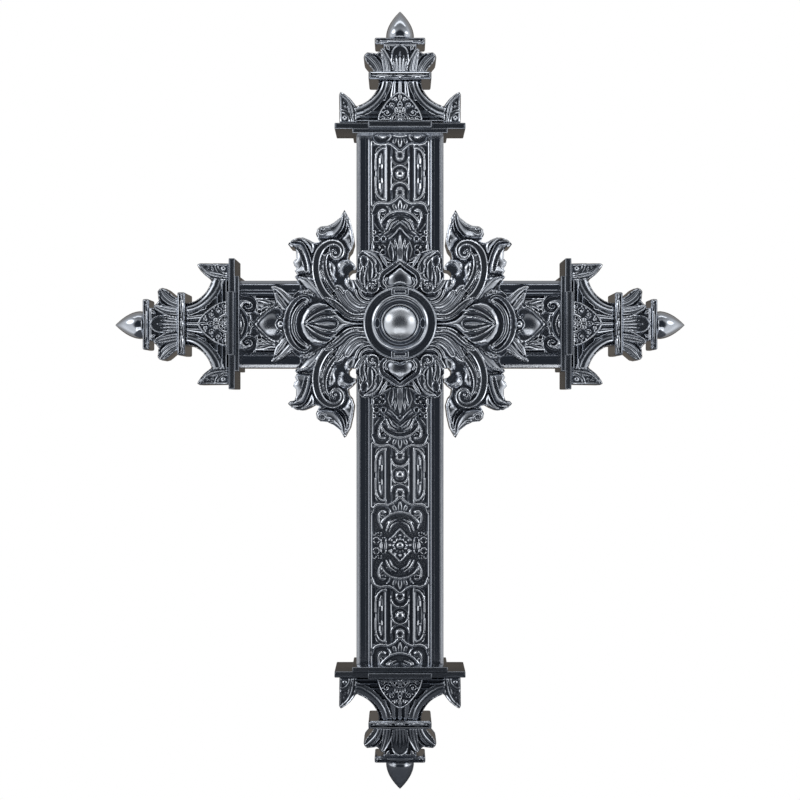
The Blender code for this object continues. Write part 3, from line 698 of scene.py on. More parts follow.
def side_relief(x, z):
    """A side arm's panel: volutes at the terminal, and a heart pointing out to them."""
    work = Chasing(np.abs(x), np.abs(z), -1.8)
    work.groove([(20.8, 94.0), (20.8, 108.0)], 1.0, -3.4)
    work.wire([(21.5, 80), (21.5, ARM_REACH["right"])], 0.7, 0.4)
    work.wire([(19.4, 94.0), (19.4, 108.6)], 0.6, 0.2)
    volute = bend([
        (19.6, 123.0), (20.2, 116.0), (18.4, 111.2), (14.6, 108.9), (11.2, 110.6), (10.2, 114.4),
        (12.6, 117.6), (15.2, 116.0), (14.6, 113.8),
    ])
    work.pad(curl((14.8, 114.0), 7.0, 0, 345, 7.0, 24), -0.2, 0.8, 0.4)
    work.groove(volute, [1.9, 2.0, 2.1, 2.1, 2.0, 1.6, 1.2, 0.9, 0.6], -2.4)
    work.wires(
        ([(12.6, 120.6), (15.4, 119.6), (17.0, 116.8), (16.4, 113.4)], 0.8, 0.4),
        ([(21.4, 110.0), (18.0, 107.8), (13.4, 107.0), (9.6, 108.6)], 0.8, 0.4),
    )
    work.groove(bend([(0, 115.8), (5.4, 117.2), (10.4, 119.8), (13.0, 122.6)]), 1.4, -2.4)
    work.wires(
        ([(0, 113.6), (5.4, 114.6), (9.6, 117.0), (12.6, 119.6)], 1.0, 0.5),
        ([(0, 109.8), (2.6, 112.0), (6.4, 113.0)], 1.1, 0.5),
    )
    work.leaf([(0.6, 120.4), (6.5, 121.6)], [1.8, 1.5, 0.5], -0.2, 1.2, 0.0)
    for spine, size in (
        (bend([(18.2, 107.6), (17.6, 102.4), (16.2, 97.6), (16.4, 92.0)]), [1.0, 1.9, 2.0, 1.8]),
        (bend([(14.4, 106.6), (14.2, 102.0), (13.4, 98.4)]), [1.0, 1.6, 1.0]),
        (bend([(8.6, 107.4), (12.0, 103.4), (14.4, 98.0), (15.0, 92.4)]), [0.8, 1.0, 1.1, 1.1]),
    ):
        work.leaf(spine, size, 0.3, 1.4, 0.0)
    work.well((9.7, 105.6), 1.3, -2.8)
    work.ring((9.7, 105.6), 1.8, 0.5, 0.1)
    lobe = [(0, 109.6), (4.6, 105.6), (9.6, 100.6), (13.0, 95.4), (13.2, 91.2), (10.6, 88.2), (6.6, 88.2)]
    heart = bend(mirrored(lobe + [(3.4, 91.0), (0, 92.8)]), True, 2)
    work.pad(heart, 0.8, 1.6, 1.0)
    work.bow(heart, 97.0, 42.0, 2.0, 1.2)
    work.band(bend(lobe + [(5.0, 90.4), (7.0, 92.0)]), [1.5] * 6 + [1.2, 0.9], 0.6, 1.0, 0.5)
    work.bead((0, 89.6), 3.0, 1.2)
    work.leaf(bend([(14.0, 93.4), (17.6, 90.0), (21.5, 86.0)]), [1.2, 3.2, 2.6], 0.0, 1.6)
    return work.h


panel_silver = silver_material("panel_silver", (0.78, 0.81, 0.86), (0.15, 0.165, 0.195), 0.47, 0.3, 0.14)
for arm, reach in ARM_REACH.items():
    shape, start = (upright_relief, 46.0) if arm in ("top", "bottom") else (side_relief, 80.0)
    box = (-PANEL_HALF, PANEL_HALF, start, reach)
    bm = chased_sheet(box, PANEL_STEP, shape, PANEL_TOP, 22.3)
    bmesh.ops.transform(bm, matrix=turn_to(arm), verts=bm.verts)
    finished_piece(f"chased_panel_{arm}", bm, panel_silver, [f"panel_{arm}"])

# --- Crossing plate and corner sprays -------------------------------------------------------------
# One heavy casting over the crossing: hearts above and below, lotus petals and crescent scrolls to the
# sides, volutes between. The four corner sprays are cast to carry its scrolls on past the arms.


def spray_leaves(work):
    """The outer foliage of a corner: arm leaf, curled outer leaf, and tall leaf beside the upright."""
    arm_leaf = [(57, 17), (63, 20.4), (70, 26), (75, 31.5), (78.6, 35.0), (73, 36.2), (66.4, 35.6)]
    arm_leaf += [(60, 30)]
    work.pad(bend(arm_leaf, True, 3), 0.4, 9.0, 4.4)
    work.wire(bend([(57.6, 18.6), (64.3, 28.4), (70.6, 34.0), (78.0, 35.2)]), 0.55, 0.6)
    lip = bend([(64.0, 21.5), (69.0, 23.6), (74.4, 23.8)])
    work.leaf(lip, [1.0, 2.4, 1.0], -0.2, 1.0, 0.5, 3, 0.5, 0.8)
    outer_leaf = [
        (85.4, 60.2), (79, 62.2), (73, 60.6), (68.5, 53.2), (66.4, 45), (66.2, 38), (70, 37.2),
        (78.6, 36.4), (80.4, 40.0), (80.6, 43), (82.0, 46.2), (79.6, 50), (79.4, 54), (82, 56.4),
        (85, 57.2),
    ]
    work.pad(bend(outer_leaf, True, 3), 1.0, 11.0, 5.4)
    work.groove(bend([(70.0, 38.6), (71.4, 46), (74.6, 54), (80.6, 59.4)]), [1.0, 1.3, 1.1, 0.5], -1.6)
    upper = [(86, 60.6), (82, 64.6), (76, 66.6), (70, 65.8), (65.4, 62.4), (63.6, 57), (66, 52)]
    upper += [(69, 58), (74, 61.6), (80, 62.2)]
    work.pad(bend(upper, True, 3), 0.6, 3.4, 2.2)
    work.wires(
        ([(81.6, 61.6), (72.9, 60.6), (68.4, 53.2), (66.0, 45)], 0.55, 0.8),
        ([(78.4, 63.4), (71.0, 62.4), (66.8, 58.0)], 0.4, 0.6),
    )
    tall_leaf = [
        (62, 64.5), (64.5, 70.4), (61, 74.6), (54.6, 75.2), (50.4, 77.6), (46, 81), (41.6, 87), (40.2, 78),
        (42, 72), (46, 66.5), (50, 63.8), (55.5, 63.2),
    ]
    work.pad(bend(tall_leaf, True, 3), 1.2, 11.0, 5.4)
    side_leaf = [
        (41, 86), (36.2, 79), (33.6, 69.4), (32.6, 61), (35.4, 54), (38.6, 55.8), (41.5, 61), (44, 63.5),
        (41, 69), (39.6, 75),
    ]
    work.pad(bend(side_leaf, True, 3), 0.6, 7.0, 3.6)
    work.wires(
        ([(48.2, 64.6), (43.4, 70.2), (41.2, 76.2), (40.8, 82.2)], 0.55, 0.9),
        ([(44.8, 63.5), (41.0, 68.6), (39.6, 75.0), (40.0, 81.5)], 0.45, 0.8),
        ([(37.6, 60.0), (37.4, 67.0), (39.0, 74.6)], 0.45, 0.5),
    )
    work.wire(curl((58.2, 69.6), 3.0, -160, 300, 1.6, 20), 1.1, 0.8)
    work.wire(curl((51.6, 73.2), 1.7, -150, 260, 1.2, 14), 0.7, 0.5)


def spray_scrolls(work):
    """The inner leaves of a corner and the great scroll that sweeps round them."""
    low_leaf = [(36.0, 20), (41, 19), (45, 22.6), (49.4, 28.6), (46.4, 29.6), (43.0, 28.0), (39.6, 24.0)]
    outer_leaf = [(54.6, 44), (53.4, 36), (50, 30), (47.6, 32), (48.4, 37), (47.6, 42), (50.6, 46.6)]
    outer_leaf += [(53.6, 48)]
    inner_leaf = [(41, 33), (38.6, 36.4), (35.6, 34.4), (33.4, 30), (33.4, 24), (37.6, 25), (41.4, 29.4)]
    high_leaf = [(47, 44.6), (44.4, 47.4), (40, 48.4), (36, 46.8), (34.4, 43), (37, 44.2), (41, 43.4)]
    high_leaf += [(43, 40), (41.6, 36.6), (44.6, 35.6), (46.6, 39.6)]
    for outline, edge, crown in (
        (low_leaf, 3.9, 2.21),
        (outer_leaf, 4.5, 2.72),
        (inner_leaf, 4.8, 2.55),
        (high_leaf, 3.9, 2.38),
    ):
        work.pad(bend(outline, True, 3), 0.2, edge, crown)
    work.wires(
        ([(52.6, 46.2), (51.8, 38.4), (48.6, 31.6)], 0.45, 0.4),
        ([(36.4, 45.6), (41.6, 46.0), (45.0, 42.6), (44.4, 37.4)], 0.45, 0.4),
        ([(35.0, 25.6), (38.2, 28.6), (38.8, 34.4)], 0.45, 0.4),
    )
    fillet = [(40.5, 17.5), (46.5, 23.4), (51.8, 30.2), (55.2, 37.2), (56.2, 44), (54.8, 51), (50.6, 55)]
    work.band(bend(fillet), [1.8, 2.0, 2.1, 2.1, 1.6, 1.0], 0.4, 1.6, 0.55)
    twin = bend([(44.0, 16.0), (51.4, 22.6), (56.4, 30.0), (59.0, 38.0), (59.2, 45), (57.4, 51.5)])
    work.wire(twin, 0.5, 0.7)
    work.wire(twin - [1.0, -0.8], 0.45, 0.5)
    sweep = [
        (50.5, 16.5), (56.5, 22.6), (60.6, 30.0), (62.6, 38.0), (62.6, 45.2), (61.2, 51.6), (58.2, 56.6),
        (54.0, 59.9), (49.4, 60.9), (45.2, 59.3), (43.0, 55.8), (43.4, 51.8), (46.0, 49.2), (49.3, 49.2),
        (51.3, 51.6), (50.7, 54.4), (48.6, 55.2),
    ]
    work.pad(curl((47.4, 54.6), 6.0, 0, 340, 6.0, 20), -0.6, 1.0, 0.4)
    work.band(bend(sweep), [3.1] * 9 + [2.8, 2.5, 2.2, 2.0, 1.8, 1.5, 1.2, 0.9], 1.0, 1.7, 0.75)
    work.bead((48.0, 53.0), 1.3, 0.8)


def crossing_hearts(work):
    """Above and below the boss: a domed heart in a dark band, plumes beside it, and a volute."""
    for spine, size in (
        (bend([(28.6, 30.0), (28.8, 36.0), (28.0, 42.0)]), [1.6, 2.2, 1.2]),
        (bend([(22.6, 33.0), (22.6, 39.6), (22.4, 44.6), (25.0, 49.6)]), [2.2, 3.2, 2.8, 1.2]),
        (bend([(16.0, 38.6), (16.6, 44.6), (19.8, 50.4), (25.8, 53.8)]), [1.6, 2.8, 3.0, 1.6]),
        (bend([(9.8, 43.0), (12.0, 47.4), (15.2, 51.8)]), [0.8, 1.8, 0.8]),
    ):
        work.leaf(spine, size, 0.1, 1.6, 0.0)
    for line in (
        [(13.0, 39.5), (13.4, 43.0), (16.3, 48.5), (21.0, 52.7), (25.0, 53.8)],
        [(17.6, 36.7), (18.4, 41.9), (18.5, 46.5), (20.9, 50.0)],
        [(26.4, 31.0), (26.2, 37.0), (25.2, 41.6)],
    ):
        work.wire(bend(line), 0.7, 0.9)
    eye = bend([(28.4, 51.4), (24.5, 49.8), (23.8, 45), (26, 42), (29, 43.5), (29.8, 48.0)], True, 3)
    work.pad(eye, 0.6, 1.1, 0.6, 1.8, 1.4)
    lobe = [(0, 47.0), (4.4, 43.2), (9.0, 39.9), (12.8, 36.8), (14.0, 33.0), (13.7, 29.4), (11.2, 26.6)]
    lobe = bend(lobe)
    work.band(lobe, [2.2] * 5 + [1.7], 1.3, 1.9, 0.6)
    work.groove(lobe, [1.2] * 5 + [0.8], -0.4)
    half = [(0, 42.6), (3.5, 39.6), (7.5, 36.6), (10.6, 33.6), (11.6, 31), (10.6, 28.4), (7.6, 27)]
    half += [(4, 28), (0, 29.6)]
    heart = bend(mirrored(half), True, 3)
    work.pad(heart, 2.4, 2.4, 1.2)
    work.bow(heart, 33.0, 34.0, 2.6)
    work.wires(
        ([(9.8, 34.0), (11.3, 31.0), (10.2, 28.4), (7.6, 27.2), (4, 28.2), (0, 29.8)], 1.0, 1.4),
        ([(0, 49.2), (5.4, 44.8), (10.6, 41.2), (14.8, 37.8), (16.4, 33.4), (15.8, 28.8)], 0.8, 1.5),
    )
    stem = bend([(17.2, 36.0), (17.2, 32.0)], steps=3)
    volute = np.vstack([stem, curl((20.9, 27.4), 4.4, 160, 480, 1.3, 34)])
    work.pad(curl((20.9, 27.4), 5.4, 0, 340, 5.4, 18), -0.6, 1.2, 0.6)
    work.band(volute, [1.4, 1.7, 1.7, 1.7, 1.5, 1.3, 1.1, 0.8], 1.2, 1.5, 0.55)
    work.bead((20.9, 27.4), 1.1, 0.9)
    work.leaf(bend([(16.6, 37.4), (17.6, 34.4), (20.4, 32.4)]), [1.0, 1.9, 0.9], 1.2, 1.4, 0.0)
    work.wire(bend([(26.0, 32.2), (26.4, 28.1), (23.9, 23.7), (20.3, 22.8)]), 0.6, 1.0)


def crossing_lotus(work):
    """Beside the boss: swept double bands, the lotus petal, and the crescent that embraces it."""
    for spine, size in (
        (bend([(22, 9.6), (31, 8.8), (38, 12.2), (43.5, 18.6), (46.5, 23.5)]), [2.4, 2.6, 3.2, 3.4, 2.6]),
        (bend([(20, 15.5), (29, 13.6), (35.5, 17.4), (39.5, 23.0)]), [2.8, 3.0, 3.2, 2.8]),
    ):
        work.leaf(spine, size, -0.3, 1.5, 0.6)
    work.wire([(30.3, 39.0), (30.3, 51.0)], 0.6, 0.2)
    work.leaf(bend([(25.5, 24.0), (29.5, 27.6), (32.6, 32.6), (33.4, 37.0)]), [1.4, 2.2, 2.0, 1.0], 0.2, 1)
    for shift in (0.6, 3.6):
        work.wire(curl((22.2, 26.0), 6.6 + shift, -105, 100, 7.4 + shift, 18), 1.1, -0.2)
    horn = bend([(80.5, 16.5), (86.0, 22.4), (91.0, 26.0), (96.6, 27.4)])
    work.leaf(horn, [3.6, 3.6, 2.4, 0.8], -0.2, 1.6, 0.6)
    work.leaf(bend([(85.5, 12.0), (89.8, 16.5), (92.6, 22.0)]), [2.2, 3.8, 1.6], -0.4, 1.4)
    work.wire(bend([(96.6, 27.6), (90.0, 26.8), (84.4, 22.8)]), 0.5, 0.3)
    crescent = [(84.7, 0), (83.9, 7), (80.9, 13.6), (76.2, 18.6), (71.6, 20.4), (67.9, 18.6), (68.3, 15.4)]
    crescent = bend(crescent + [(70.4, 15.2)])
    work.band(crescent, [2.4, 2.4, 2.4, 2.2, 1.9, 1.6, 1.3, 1.0], 0.8, 1.6, 0.5)
    work.groove(crescent, [1.5, 1.5, 1.4, 1.2, 0.9, 0.6, 0.4, 0.3], -0.8)
    lining = bend([(80.2, 0), (79.2, 6.4), (75.9, 12.2), (71.4, 16.2)])
    work.leaf(lining, [1.6, 1.6, 1.4, 1.0], 0.0, 1.2, 0.0)
    work.groove(bend([(76.0, 0), (75.0, 5.6), (72.0, 11.0), (67.4, 14.8)]), 1.0, -1.6)
    work.wire(bend([(77.7, 0), (76.8, 5.8), (73.8, 11.2), (69.4, 15.0)]), 0.6, 0.7)
    work.bead((69.6, 16.9), 1.2, 0.8)
    half = [(74.4, 0), (72.8, 6.2), (69.6, 11.4), (65.2, 14.8), (60.2, 16.0), (55.0, 14.9), (50.4, 11.8)]
    half += [(46.0, 6.6), (41.4, 2.8), (35.4, 1.2), (27.0, 0.9)]
    work.pad(mirrored(half, (1, -1)), 2.2, 6.0, 3.0)
    work.groove(bend([(70.6, 1.6), (63.2, 8.6), (56.4, 12.0), (49.0, 12.2)]), [0.6, 1.8, 1.9, 1.2], 0.2)
    work.wire(bend([(71.6, 0.6), (63.4, 6.6), (56.0, 9.8), (47.4, 9.9)]), 0.6, 1.8)
    work.groove(bend([(68.6, 1.2), (61.0, 6.0), (54.6, 7.6), (47.6, 6.9)]), [0.4, 1.2, 1.4, 0.9], 0.2)
    half = [(70.4, 0), (63.2, 2.5), (56.6, 4.5), (50.6, 5.0), (46.9, 3.4), (45.6, 0)]
    work.pad(bend(mirrored(half, (1, -1)), True, 4), 2.0, 0.9, 0.8, 2.6, 1.3)
    work.leaf([(49.0, 0), (67.6, 0)], [1.2, 1.6, 1.1, 0.3], 0.4, 0.5, 0.25)
    outer = bend([(27.0, 6.6), (34.0, 6.2), (39.6, 8.6), (44.8, 13.2), (50.0, 17.2), (55.0, 19.0)])
    work.band(outer, [1.5, 1.6, 1.7, 1.8, 1.7, 1.0], 0.9, 1.5, 0.5)
    inner = bend([(27.0, 3.4), (34.2, 3.4), (40.0, 5.5), (45.0, 9.8), (49.6, 13.6), (53.5, 16.0)])
    work.band(inner, [1.2, 1.3, 1.5, 1.5, 1.4, 0.7], 1.1, 1.4, 0.45)


def crossing_relief(x, z):
    """The whole ornament of the crossing, the same in all four quarters."""
    work = Chasing(np.abs(x), np.abs(z), -2.6)
    spray_leaves(work)
    spray_scrolls(work)
    crossing_hearts(work)
    crossing_lotus(work)
    rim = 1 - ramp(0.2, 1.3, inside_depth(ORNAMENT_QUARTER, work.x, work.z))
    return work.h + (-1.5 - work.h) * rim


def folded_depth(quarter):
    """Depth inside an outline given as its quarter, from the top round to the side."""
    outline = mirrored(mirrored(quarter, (1, -1)))

    def depth(x, z):
        """Depth inside the outline and outside the round seat of the boss."""
        return np.minimum(inside_depth(outline, np.abs(x), np.abs(z)), np.hypot(x, z) - BOSS_SEAT)

    return depth


ORNAMENT_TOP = 31.0
BOSS_SEAT = 23.0
ROSETTE_QUARTER = [
    (0, 48.6), (5.5, 45.4), (9.6, 46.4), (12.2, 50.6), (16.4, 53.8), (22.4, 55.4), (28.4, 54.8),
    (31.2, 51.6), (31.6, 47.0), (31.4, 40.0), (32.95, 37.4), (32.95, 32.95), (76.6, 32.95),
    (74.6, 28.6), (74.8, 25.6), (77.6, 23.4), (80.6, 20.6), (84.0, 22.8), (88.6, 26.4), (93.0, 28.2),
    (97.2, 28.2), (95.0, 26.2), (94.0, 22.0), (92.8, 17.6), (89.4, 13.6), (87.3, 7.0), (87.2, 0),
]
SPRAY_OUTLINE = [
    (33.0, 33.0), (36.6, 33.0), (38.5, 35.4), (38.2, 38.0), (36.2, 39.9), (33.3, 40.6), (33.2, 43.4),
    (35.6, 46.2), (38.9, 48.9), (38.3, 52.9), (36.0, 55.7), (34.3, 61.4), (35.4, 69.4), (37.4, 78.0),
    (41.5, 85.3), (44.6, 79.6), (49.7, 75.6), (54.2, 73.4), (59.4, 72.9), (62.2, 70.6), (62.8, 67.0),
    (61.4, 63.6), (60.2, 61.4), (63.9, 60.7), (67.9, 63.0), (72.4, 64.8), (77.0, 64.4), (81.0, 62.6),
    (83.8, 59.6), (82.2, 57.8), (78.9, 57.2), (77.6, 53.6), (77.6, 48.9), (79.9, 46.4), (79.0, 43.6),
    (77.6, 42.2), (78.6, 39.6), (76.9, 37.0), (78.8, 35.0), (77.0, 33.0),
]
ORNAMENT_QUARTER = [(-8, 45.4), (-5.5, 45.4)] + ROSETTE_QUARTER[:11] + SPRAY_OUTLINE[5:]
ORNAMENT_QUARTER += ROSETTE_QUARTER[13:] + [(87.3, -8), (-8, -8)]
cast_silver = silver_material("cast_silver", (0.70, 0.73, 0.78), (0.15, 0.165, 0.195), 0.44, 0.3, 0.12)
rosette_depth = folded_depth(ROSETTE_QUARTER)
rosette_box = (-97.6, 97.6, -55.8, 55.8)
bm = chased_sheet(rosette_box, 0.36, crossing_relief, ORNAMENT_TOP, 27.2, rosette_depth)
finished_piece("crossing_plate", bm, cast_silver, ["rosette_plate"])
spray_depth = partial(inside_depth, SPRAY_OUTLINE)
spray_box = (33.0, 84.2, 33.0, 85.7)
for level, up in (("upper", 1), ("lower", -1)):
    for side, across in (("left", -1), ("right", 1)):
        bm = chased_sheet(spray_box, 0.34, crossing_relief, ORNAMENT_TOP, 18.0, spray_depth, True)
        mirror = Matrix.Diagonal((across, 1, up, 1))
        bmesh.ops.transform(bm, matrix=mirror, verts=bm.verts)
        bmesh.ops.recalc_face_normals(bm, faces=bm.faces)
        name = f"foliage_{level}_{side}"
        finished_piece(name, bm, cast_silver, [f"spray_{level}_{side}"])

# --- Boss -----------------------------------------------------------------------------------------
# A spun ring with a shallow dark channel and two stepped clips, a bezel cup inside it with a pad at
# each side, and the mirror-bright domed button that hides the crossing bolt.


def turned_bmesh(profile, steps):
    """Turns a closed (radius, height) outline about the depth axis."""
    bm = bmesh.new()
    points = [bm.verts.new((radius * MM, -h * MM, 0)) for radius, h in profile]
    edges = [bm.edges.new(pair) for pair in zip(points, points[1:] + points[:1])]
    turn = {"cent": (0, 0, 0), "axis": (0, 1, 0), "angle": 2 * math.pi, "steps": steps}
    bmesh.ops.spin(bm, geom=points + edges, use_merge=True, **turn)
    bmesh.ops.remove_doubles(bm, verts=bm.verts, dist=2e-6)
    bmesh.ops.dissolve_degenerate(bm, edges=bm.edges, dist=1e-7)
    bmesh.ops.recalc_face_normals(bm, faces=bm.faces)
    return bm


boss_silver = silver_material("boss_silver", (0.58, 0.61, 0.66), (0.17, 0.19, 0.225), 1.0, 0.25, 0.05)
ring_profile = (
    [(27.3, 33.3)]
    + round_corner((27.3, 36.9), (27.2, 38.1), (26.6, 37.9), 5)
    + round_corner((26.2, 37.5), (25.9, 37.3), (25.4, 37.3), 4)
    + [(24.2, 36.9), (23.7, 37.05), (23.2, 36.9), (21.6, 36.9)]
    + round_corner((21.2, 38.0), (21.0, 39.8), (20.6, 40.05), 5)
    + [(19.6, 40.45), (19.4, 40.3), (19.3, 33.3)]
)
bm = turned_bmesh(ring_profile, 160)
finished_piece("channelled_ring", bm, boss_silver, ["boss_ring"])
cup_profile = (
    [(5.8, 33.3), (19.1, 33.3), (19.1, 38.9)]
    + round_corner((18.8, 38.8), (17.6, 36.8), (15.6, 37.4), 7)
    + round_corner((15.0, 37.8), (14.6, 38.6), (14.2, 39.8), 4)
    + round_corner((14.0, 40.8), (13.6, 41.3), (13.1, 40.8), 4)
    + [(12.9, 39.2), (12.9, 34.7), (5.8, 34.7)]
)
bm = turned_bmesh(cup_profile, 160)
finished_piece("stone_cup", bm, boss_silver, ["bezel_cup"])
dome_radius, dome_top = 17.3, 44.5
dome_profile = [(0.0, dome_top)]
for step in range(1, 25):
    angle = math.radians(46.0) * step / 24
    drop = dome_radius * (1 - math.cos(angle)) * 0.92
    dome_profile.append((dome_radius * math.sin(angle), dome_top - drop))
dome_profile += [(12.6, 38.9), (12.6, 37.3), (0.0, 37.3)]
mirror_silver = silver_material("mirror_silver", (0.72, 0.75, 0.79), (0.44, 0.46, 0.50), 0.9, 1.3, 0.04)
# The dome is handled most, so its polish is hazier than the patina alone gives.
tree = mirror_silver.node_tree
rough = tree.nodes["Principled BSDF"].inputs["Roughness"]
hazed = math_node(tree, "ADD", rough.links[0].from_socket, 0.13)
tree.links.new(hazed, rough)
bm = turned_bmesh(dome_profile, 128)
finished_piece("domed_button", bm, mirror_silver, ["cabochon"], None)


def round_edges(bm, edges, bevel):
    """Rounds the given edges off by bevel mm."""
    bmesh.ops.bevel(
        bm, geom=edges, offset=bevel * MM, segments=3, profile=0.5,
        affect="EDGES", material=-1, clamp_overlap=True,
    )


def rounded_block(size_low, size_high, bevel):
    """A box between two corners (across, height, along in mm) with all its edges rounded."""
    bm = bmesh.new()
    bmesh.ops.create_cube(bm, size=1.0)
    low, high = Vector(size_low), Vector(size_high)
    bmesh.ops.scale(bm, vec=(high - low) * MM, verts=bm.verts)
    middle = (low + high) / 2 * MM
    middle.y = -middle.y
    bmesh.ops.translate(bm, vec=middle, verts=bm.verts)
    round_edges(bm, bm.edges[:], bevel)
    return bm


for level, along in (("upper", 23.2), ("lower", -23.2)):
    for tier, (half, deep, height) in enumerate(((6.4, 2.5, 38.4), (4.6, 1.5, 39.4))):
        low, high = (-half, 34.0, along - deep), (half, height, along + deep)
        bm = rounded_block(low, high, 0.6)
        finished_piece(f"ring_clip_{level}_{tier}", bm, boss_silver, None, None)
for side, across in (("left", -16.8), ("right", 16.8)):
    bm = bmesh.new()
    bmesh.ops.create_cone(bm, cap_ends=True, segments=48, radius1=1.0, radius2=1.0, depth=1.0)
    bmesh.ops.rotate(bm, matrix=Matrix.Rotation(math.radians(90), 3, "X"), verts=bm.verts)
    bmesh.ops.scale(bm, vec=(2.1 * MM, 4.4 * MM, 3.9 * MM), verts=bm.verts)
    bmesh.ops.translate(bm, vec=(across * MM, -37.2 * MM, 0), verts=bm.verts)
    rims = [edge for edge in bm.edges if edge.calc_face_angle(0) > 1.2]
    round_edges(bm, rims, 0.6)
    finished_piece(f"cup_pad_{side}", bm, boss_silver, None, None)

# --- Terminals ------------------------------------------------------------------------------------
# Four equal stacks of castings threaded on the tie rods: a stepped foot, a fluted bell between two
# horns, the palmette on its front, a collar, a cup of leaves, a smaller collar and a turned bud.


def on_every_arm(name, bm, material, node, mask_scale=0.25 * MM):
    """Sets one piece, modelled with its foot at 0, on the end of each arm."""
    for arm, reach in ARM_REACH.items():
        made = bm.copy()
        seat = turn_to(arm) @ Matrix.Translation((0, 0, reach * MM))
        bmesh.ops.transform(made, matrix=seat, verts=made.verts)
        nodes = [f"{node}_{arm}"] if node else None
        finished_piece(f"{name}_{arm}", made, material, nodes, mask_scale)
    bm.free()


BELL_TOP = 40.4


def flare_path(inset, low=21.6):
    """The bell's flaring side from its top down to low, set in towards the middle."""
    path = []
    for step in range(15):
        t = BELL_TOP - (BELL_TOP - low) * step / 14
        out = 1 - math.sqrt(max(1 - ((BELL_TOP - t) / 20.0) ** 2, 0))
        tilt = min(out * 1.2, 1)
        path.append((16.2 + 23.8 * out - inset * (1 - 0.45 * tilt), t - inset * 0.9 * tilt))
    return path


horn_outline = [
    (45.3, 8.5), (45.7, 30.4), (44.6, 32.4), (42.6, 31.6), (39.6, 29.5), (36.4, 26.1), (33.8, 22.8),
]
bell_depth = partial(inside_depth, mirrored(horn_outline + flare_path(0)[::-1]))


def bell_relief(x, t):
    """Ribs that follow the flare, horns with a sunk and carved field, and ledges at the foot."""
    work = Chasing(np.abs(x), t, -1.8)
    work.wire(flare_path(0.9), 0.8, 0.5)
    work.groove(flare_path(2.3), 1.2, -2.4)
    work.wire(flare_path(5.0, 18.5), [2.2, 2.4, 2.8, 3.2, 3.2], 1.1)
    work.wire(flare_path(9.3, 12.0), [1.0, 1.1, 1.3, 1.6], 0.3)
    work.wire([(0, 41), (0, 29)], [1.4, 1.8], 1.0, 1.1)
    work.wire([(4.1, 41), (5.6, 28)], [1.4, 2.2], 0.8, 1.2)
    work.wire([(8.0, 41), (11.4, 26)], [0.7, 1.3], 0.3, 0.9)
    for level, height in ((17.0, 0.3), (13.2, 0.9), (9.8, 1.2)):
        work.wire([(14, level), (34.0, level)], 0.9, height, 0.8)
    horn = [
        (45.4, 7.0), (45.6, 30.4), (44.5, 32.2), (40.4, 30.0), (36.8, 26.8), (33.4, 22.4), (32.2, 7.0),
    ]
    work.pad(horn, 1.0, 0.8, 0.9, 1.1, 1.4)
    work.wires(
        ([(44.0, 30.0), (38.8, 25.0), (35.8, 18.0), (34.7, 9.0)], 0.6, 0.6),
        ([(42.6, 27.2), (39.0, 21.8), (37.6, 15.4), (37.0, 9.0)], 0.55, 0.4),
    )
    work.leaf(bend([(42.6, 26.6), (40.6, 22.0), (41.2, 18.6)]), [0.8, 1.7, 0.8], 0.2, 1.1, 0.5, 2, 0.3, 0.6)
    work.band(curl((44.6, 9.8), 7.8, 90, 90, 7.6, 12), 1.3, 0.5, 0.7, 0.5)
    work.bead((41.4, 12.4), 2.0, 0.8)
    work.bead((43.0, 20.8), 0.9, 0.2)
    return work.h - 1.4 * (1 - ramp(0.0, 1.0, bell_depth(x, t)))


TERMINAL_STEP = 0.38
bright, dark = (0.62, 0.65, 0.70), (0.13, 0.145, 0.17)
terminal_silver = silver_material("terminal_silver", bright, dark, 0.38, 0.3, 0.12)
bell_box = (-46.2, 46.2, 8.0, 40.8)
bm = chased_sheet(bell_box, TERMINAL_STEP, bell_relief, 29.6, 17.5, bell_depth, True)
on_every_arm("fluted_bell", bm, terminal_silver, "bell")

palmette_side = [(17.0, 8.5), (16.8, 12.0), (15.2, 16.4), (12.4, 21.0), (8.6, 25.6), (4.4, 29.3), (0, 31.6)]
palmette_depth = partial(inside_depth, mirrored(bend(palmette_side, steps=4).tolist()))


def palmette_relief(x, t):
    """A raised rim round a field of scrolls and pearls, over half a rosette."""
    work = Chasing(np.abs(x), t, -1.7)
    depth = palmette_depth(x, t)
    rim = np.sqrt(np.clip(1 - ((depth - 1.0) / 0.8) ** 2, 0, 1))
    work.h = np.maximum(work.h, -1.7 + 2.0 * rim)
    for centre, size, start, sweep in (
        ((9.8, 15.2), 3.0, 200, 420),
        ((6.4, 20.6), 2.4, 240, -400),
        ((3.2, 25.4), 1.6, 230, 360),
        ((12.6, 10.8), 1.9, 20, 340),
        ((3.0, 17.6), 1.6, 300, -380),
        ((9.0, 10.6), 1.3, 160, 360),
    ):
        work.wire(curl(centre, size, start, sweep, 0.8, 22), 0.55, 0.2, 0.8)
        work.bead(centre, 0.7, 0.1)
    work.wire(bend([(0, 17.4), (1.4, 19.8), (1.2, 22.4), (0, 24.0)]), 0.5, 0.0, 0.7)
    work.leaf([(0, 24.4), (0, 29.6)], [0.8, 1.5, 0.5], 0.1, 1.0, 0.3)
    for spot in ((13.0, 15.4), (9.4, 20.0), (0, 21.2), (5.6, 25.0), (11.6, 18.6), (0, 18.9)):
        work.bead(spot, 0.75, 0.0)
    work.band(curl((0, 9.2), 6.4, -10, 110, 6.4, 18), 1.1, 0.4, 0.7, 0.4)
    for angle in (12, 45, 78, 110):
        tip = (5.0 * math.cos(math.radians(angle)), 9.2 + 5.0 * math.sin(math.radians(angle)))
        work.leaf([(0, 9.2), tip], [0.7, 1.3, 0.6], 0.4, 0.9, 0.25)
    work.bead((0, 9.8), 1.6, 0.8)
    return work.h - 1.0 * (1 - ramp(0.0, 0.6, depth))


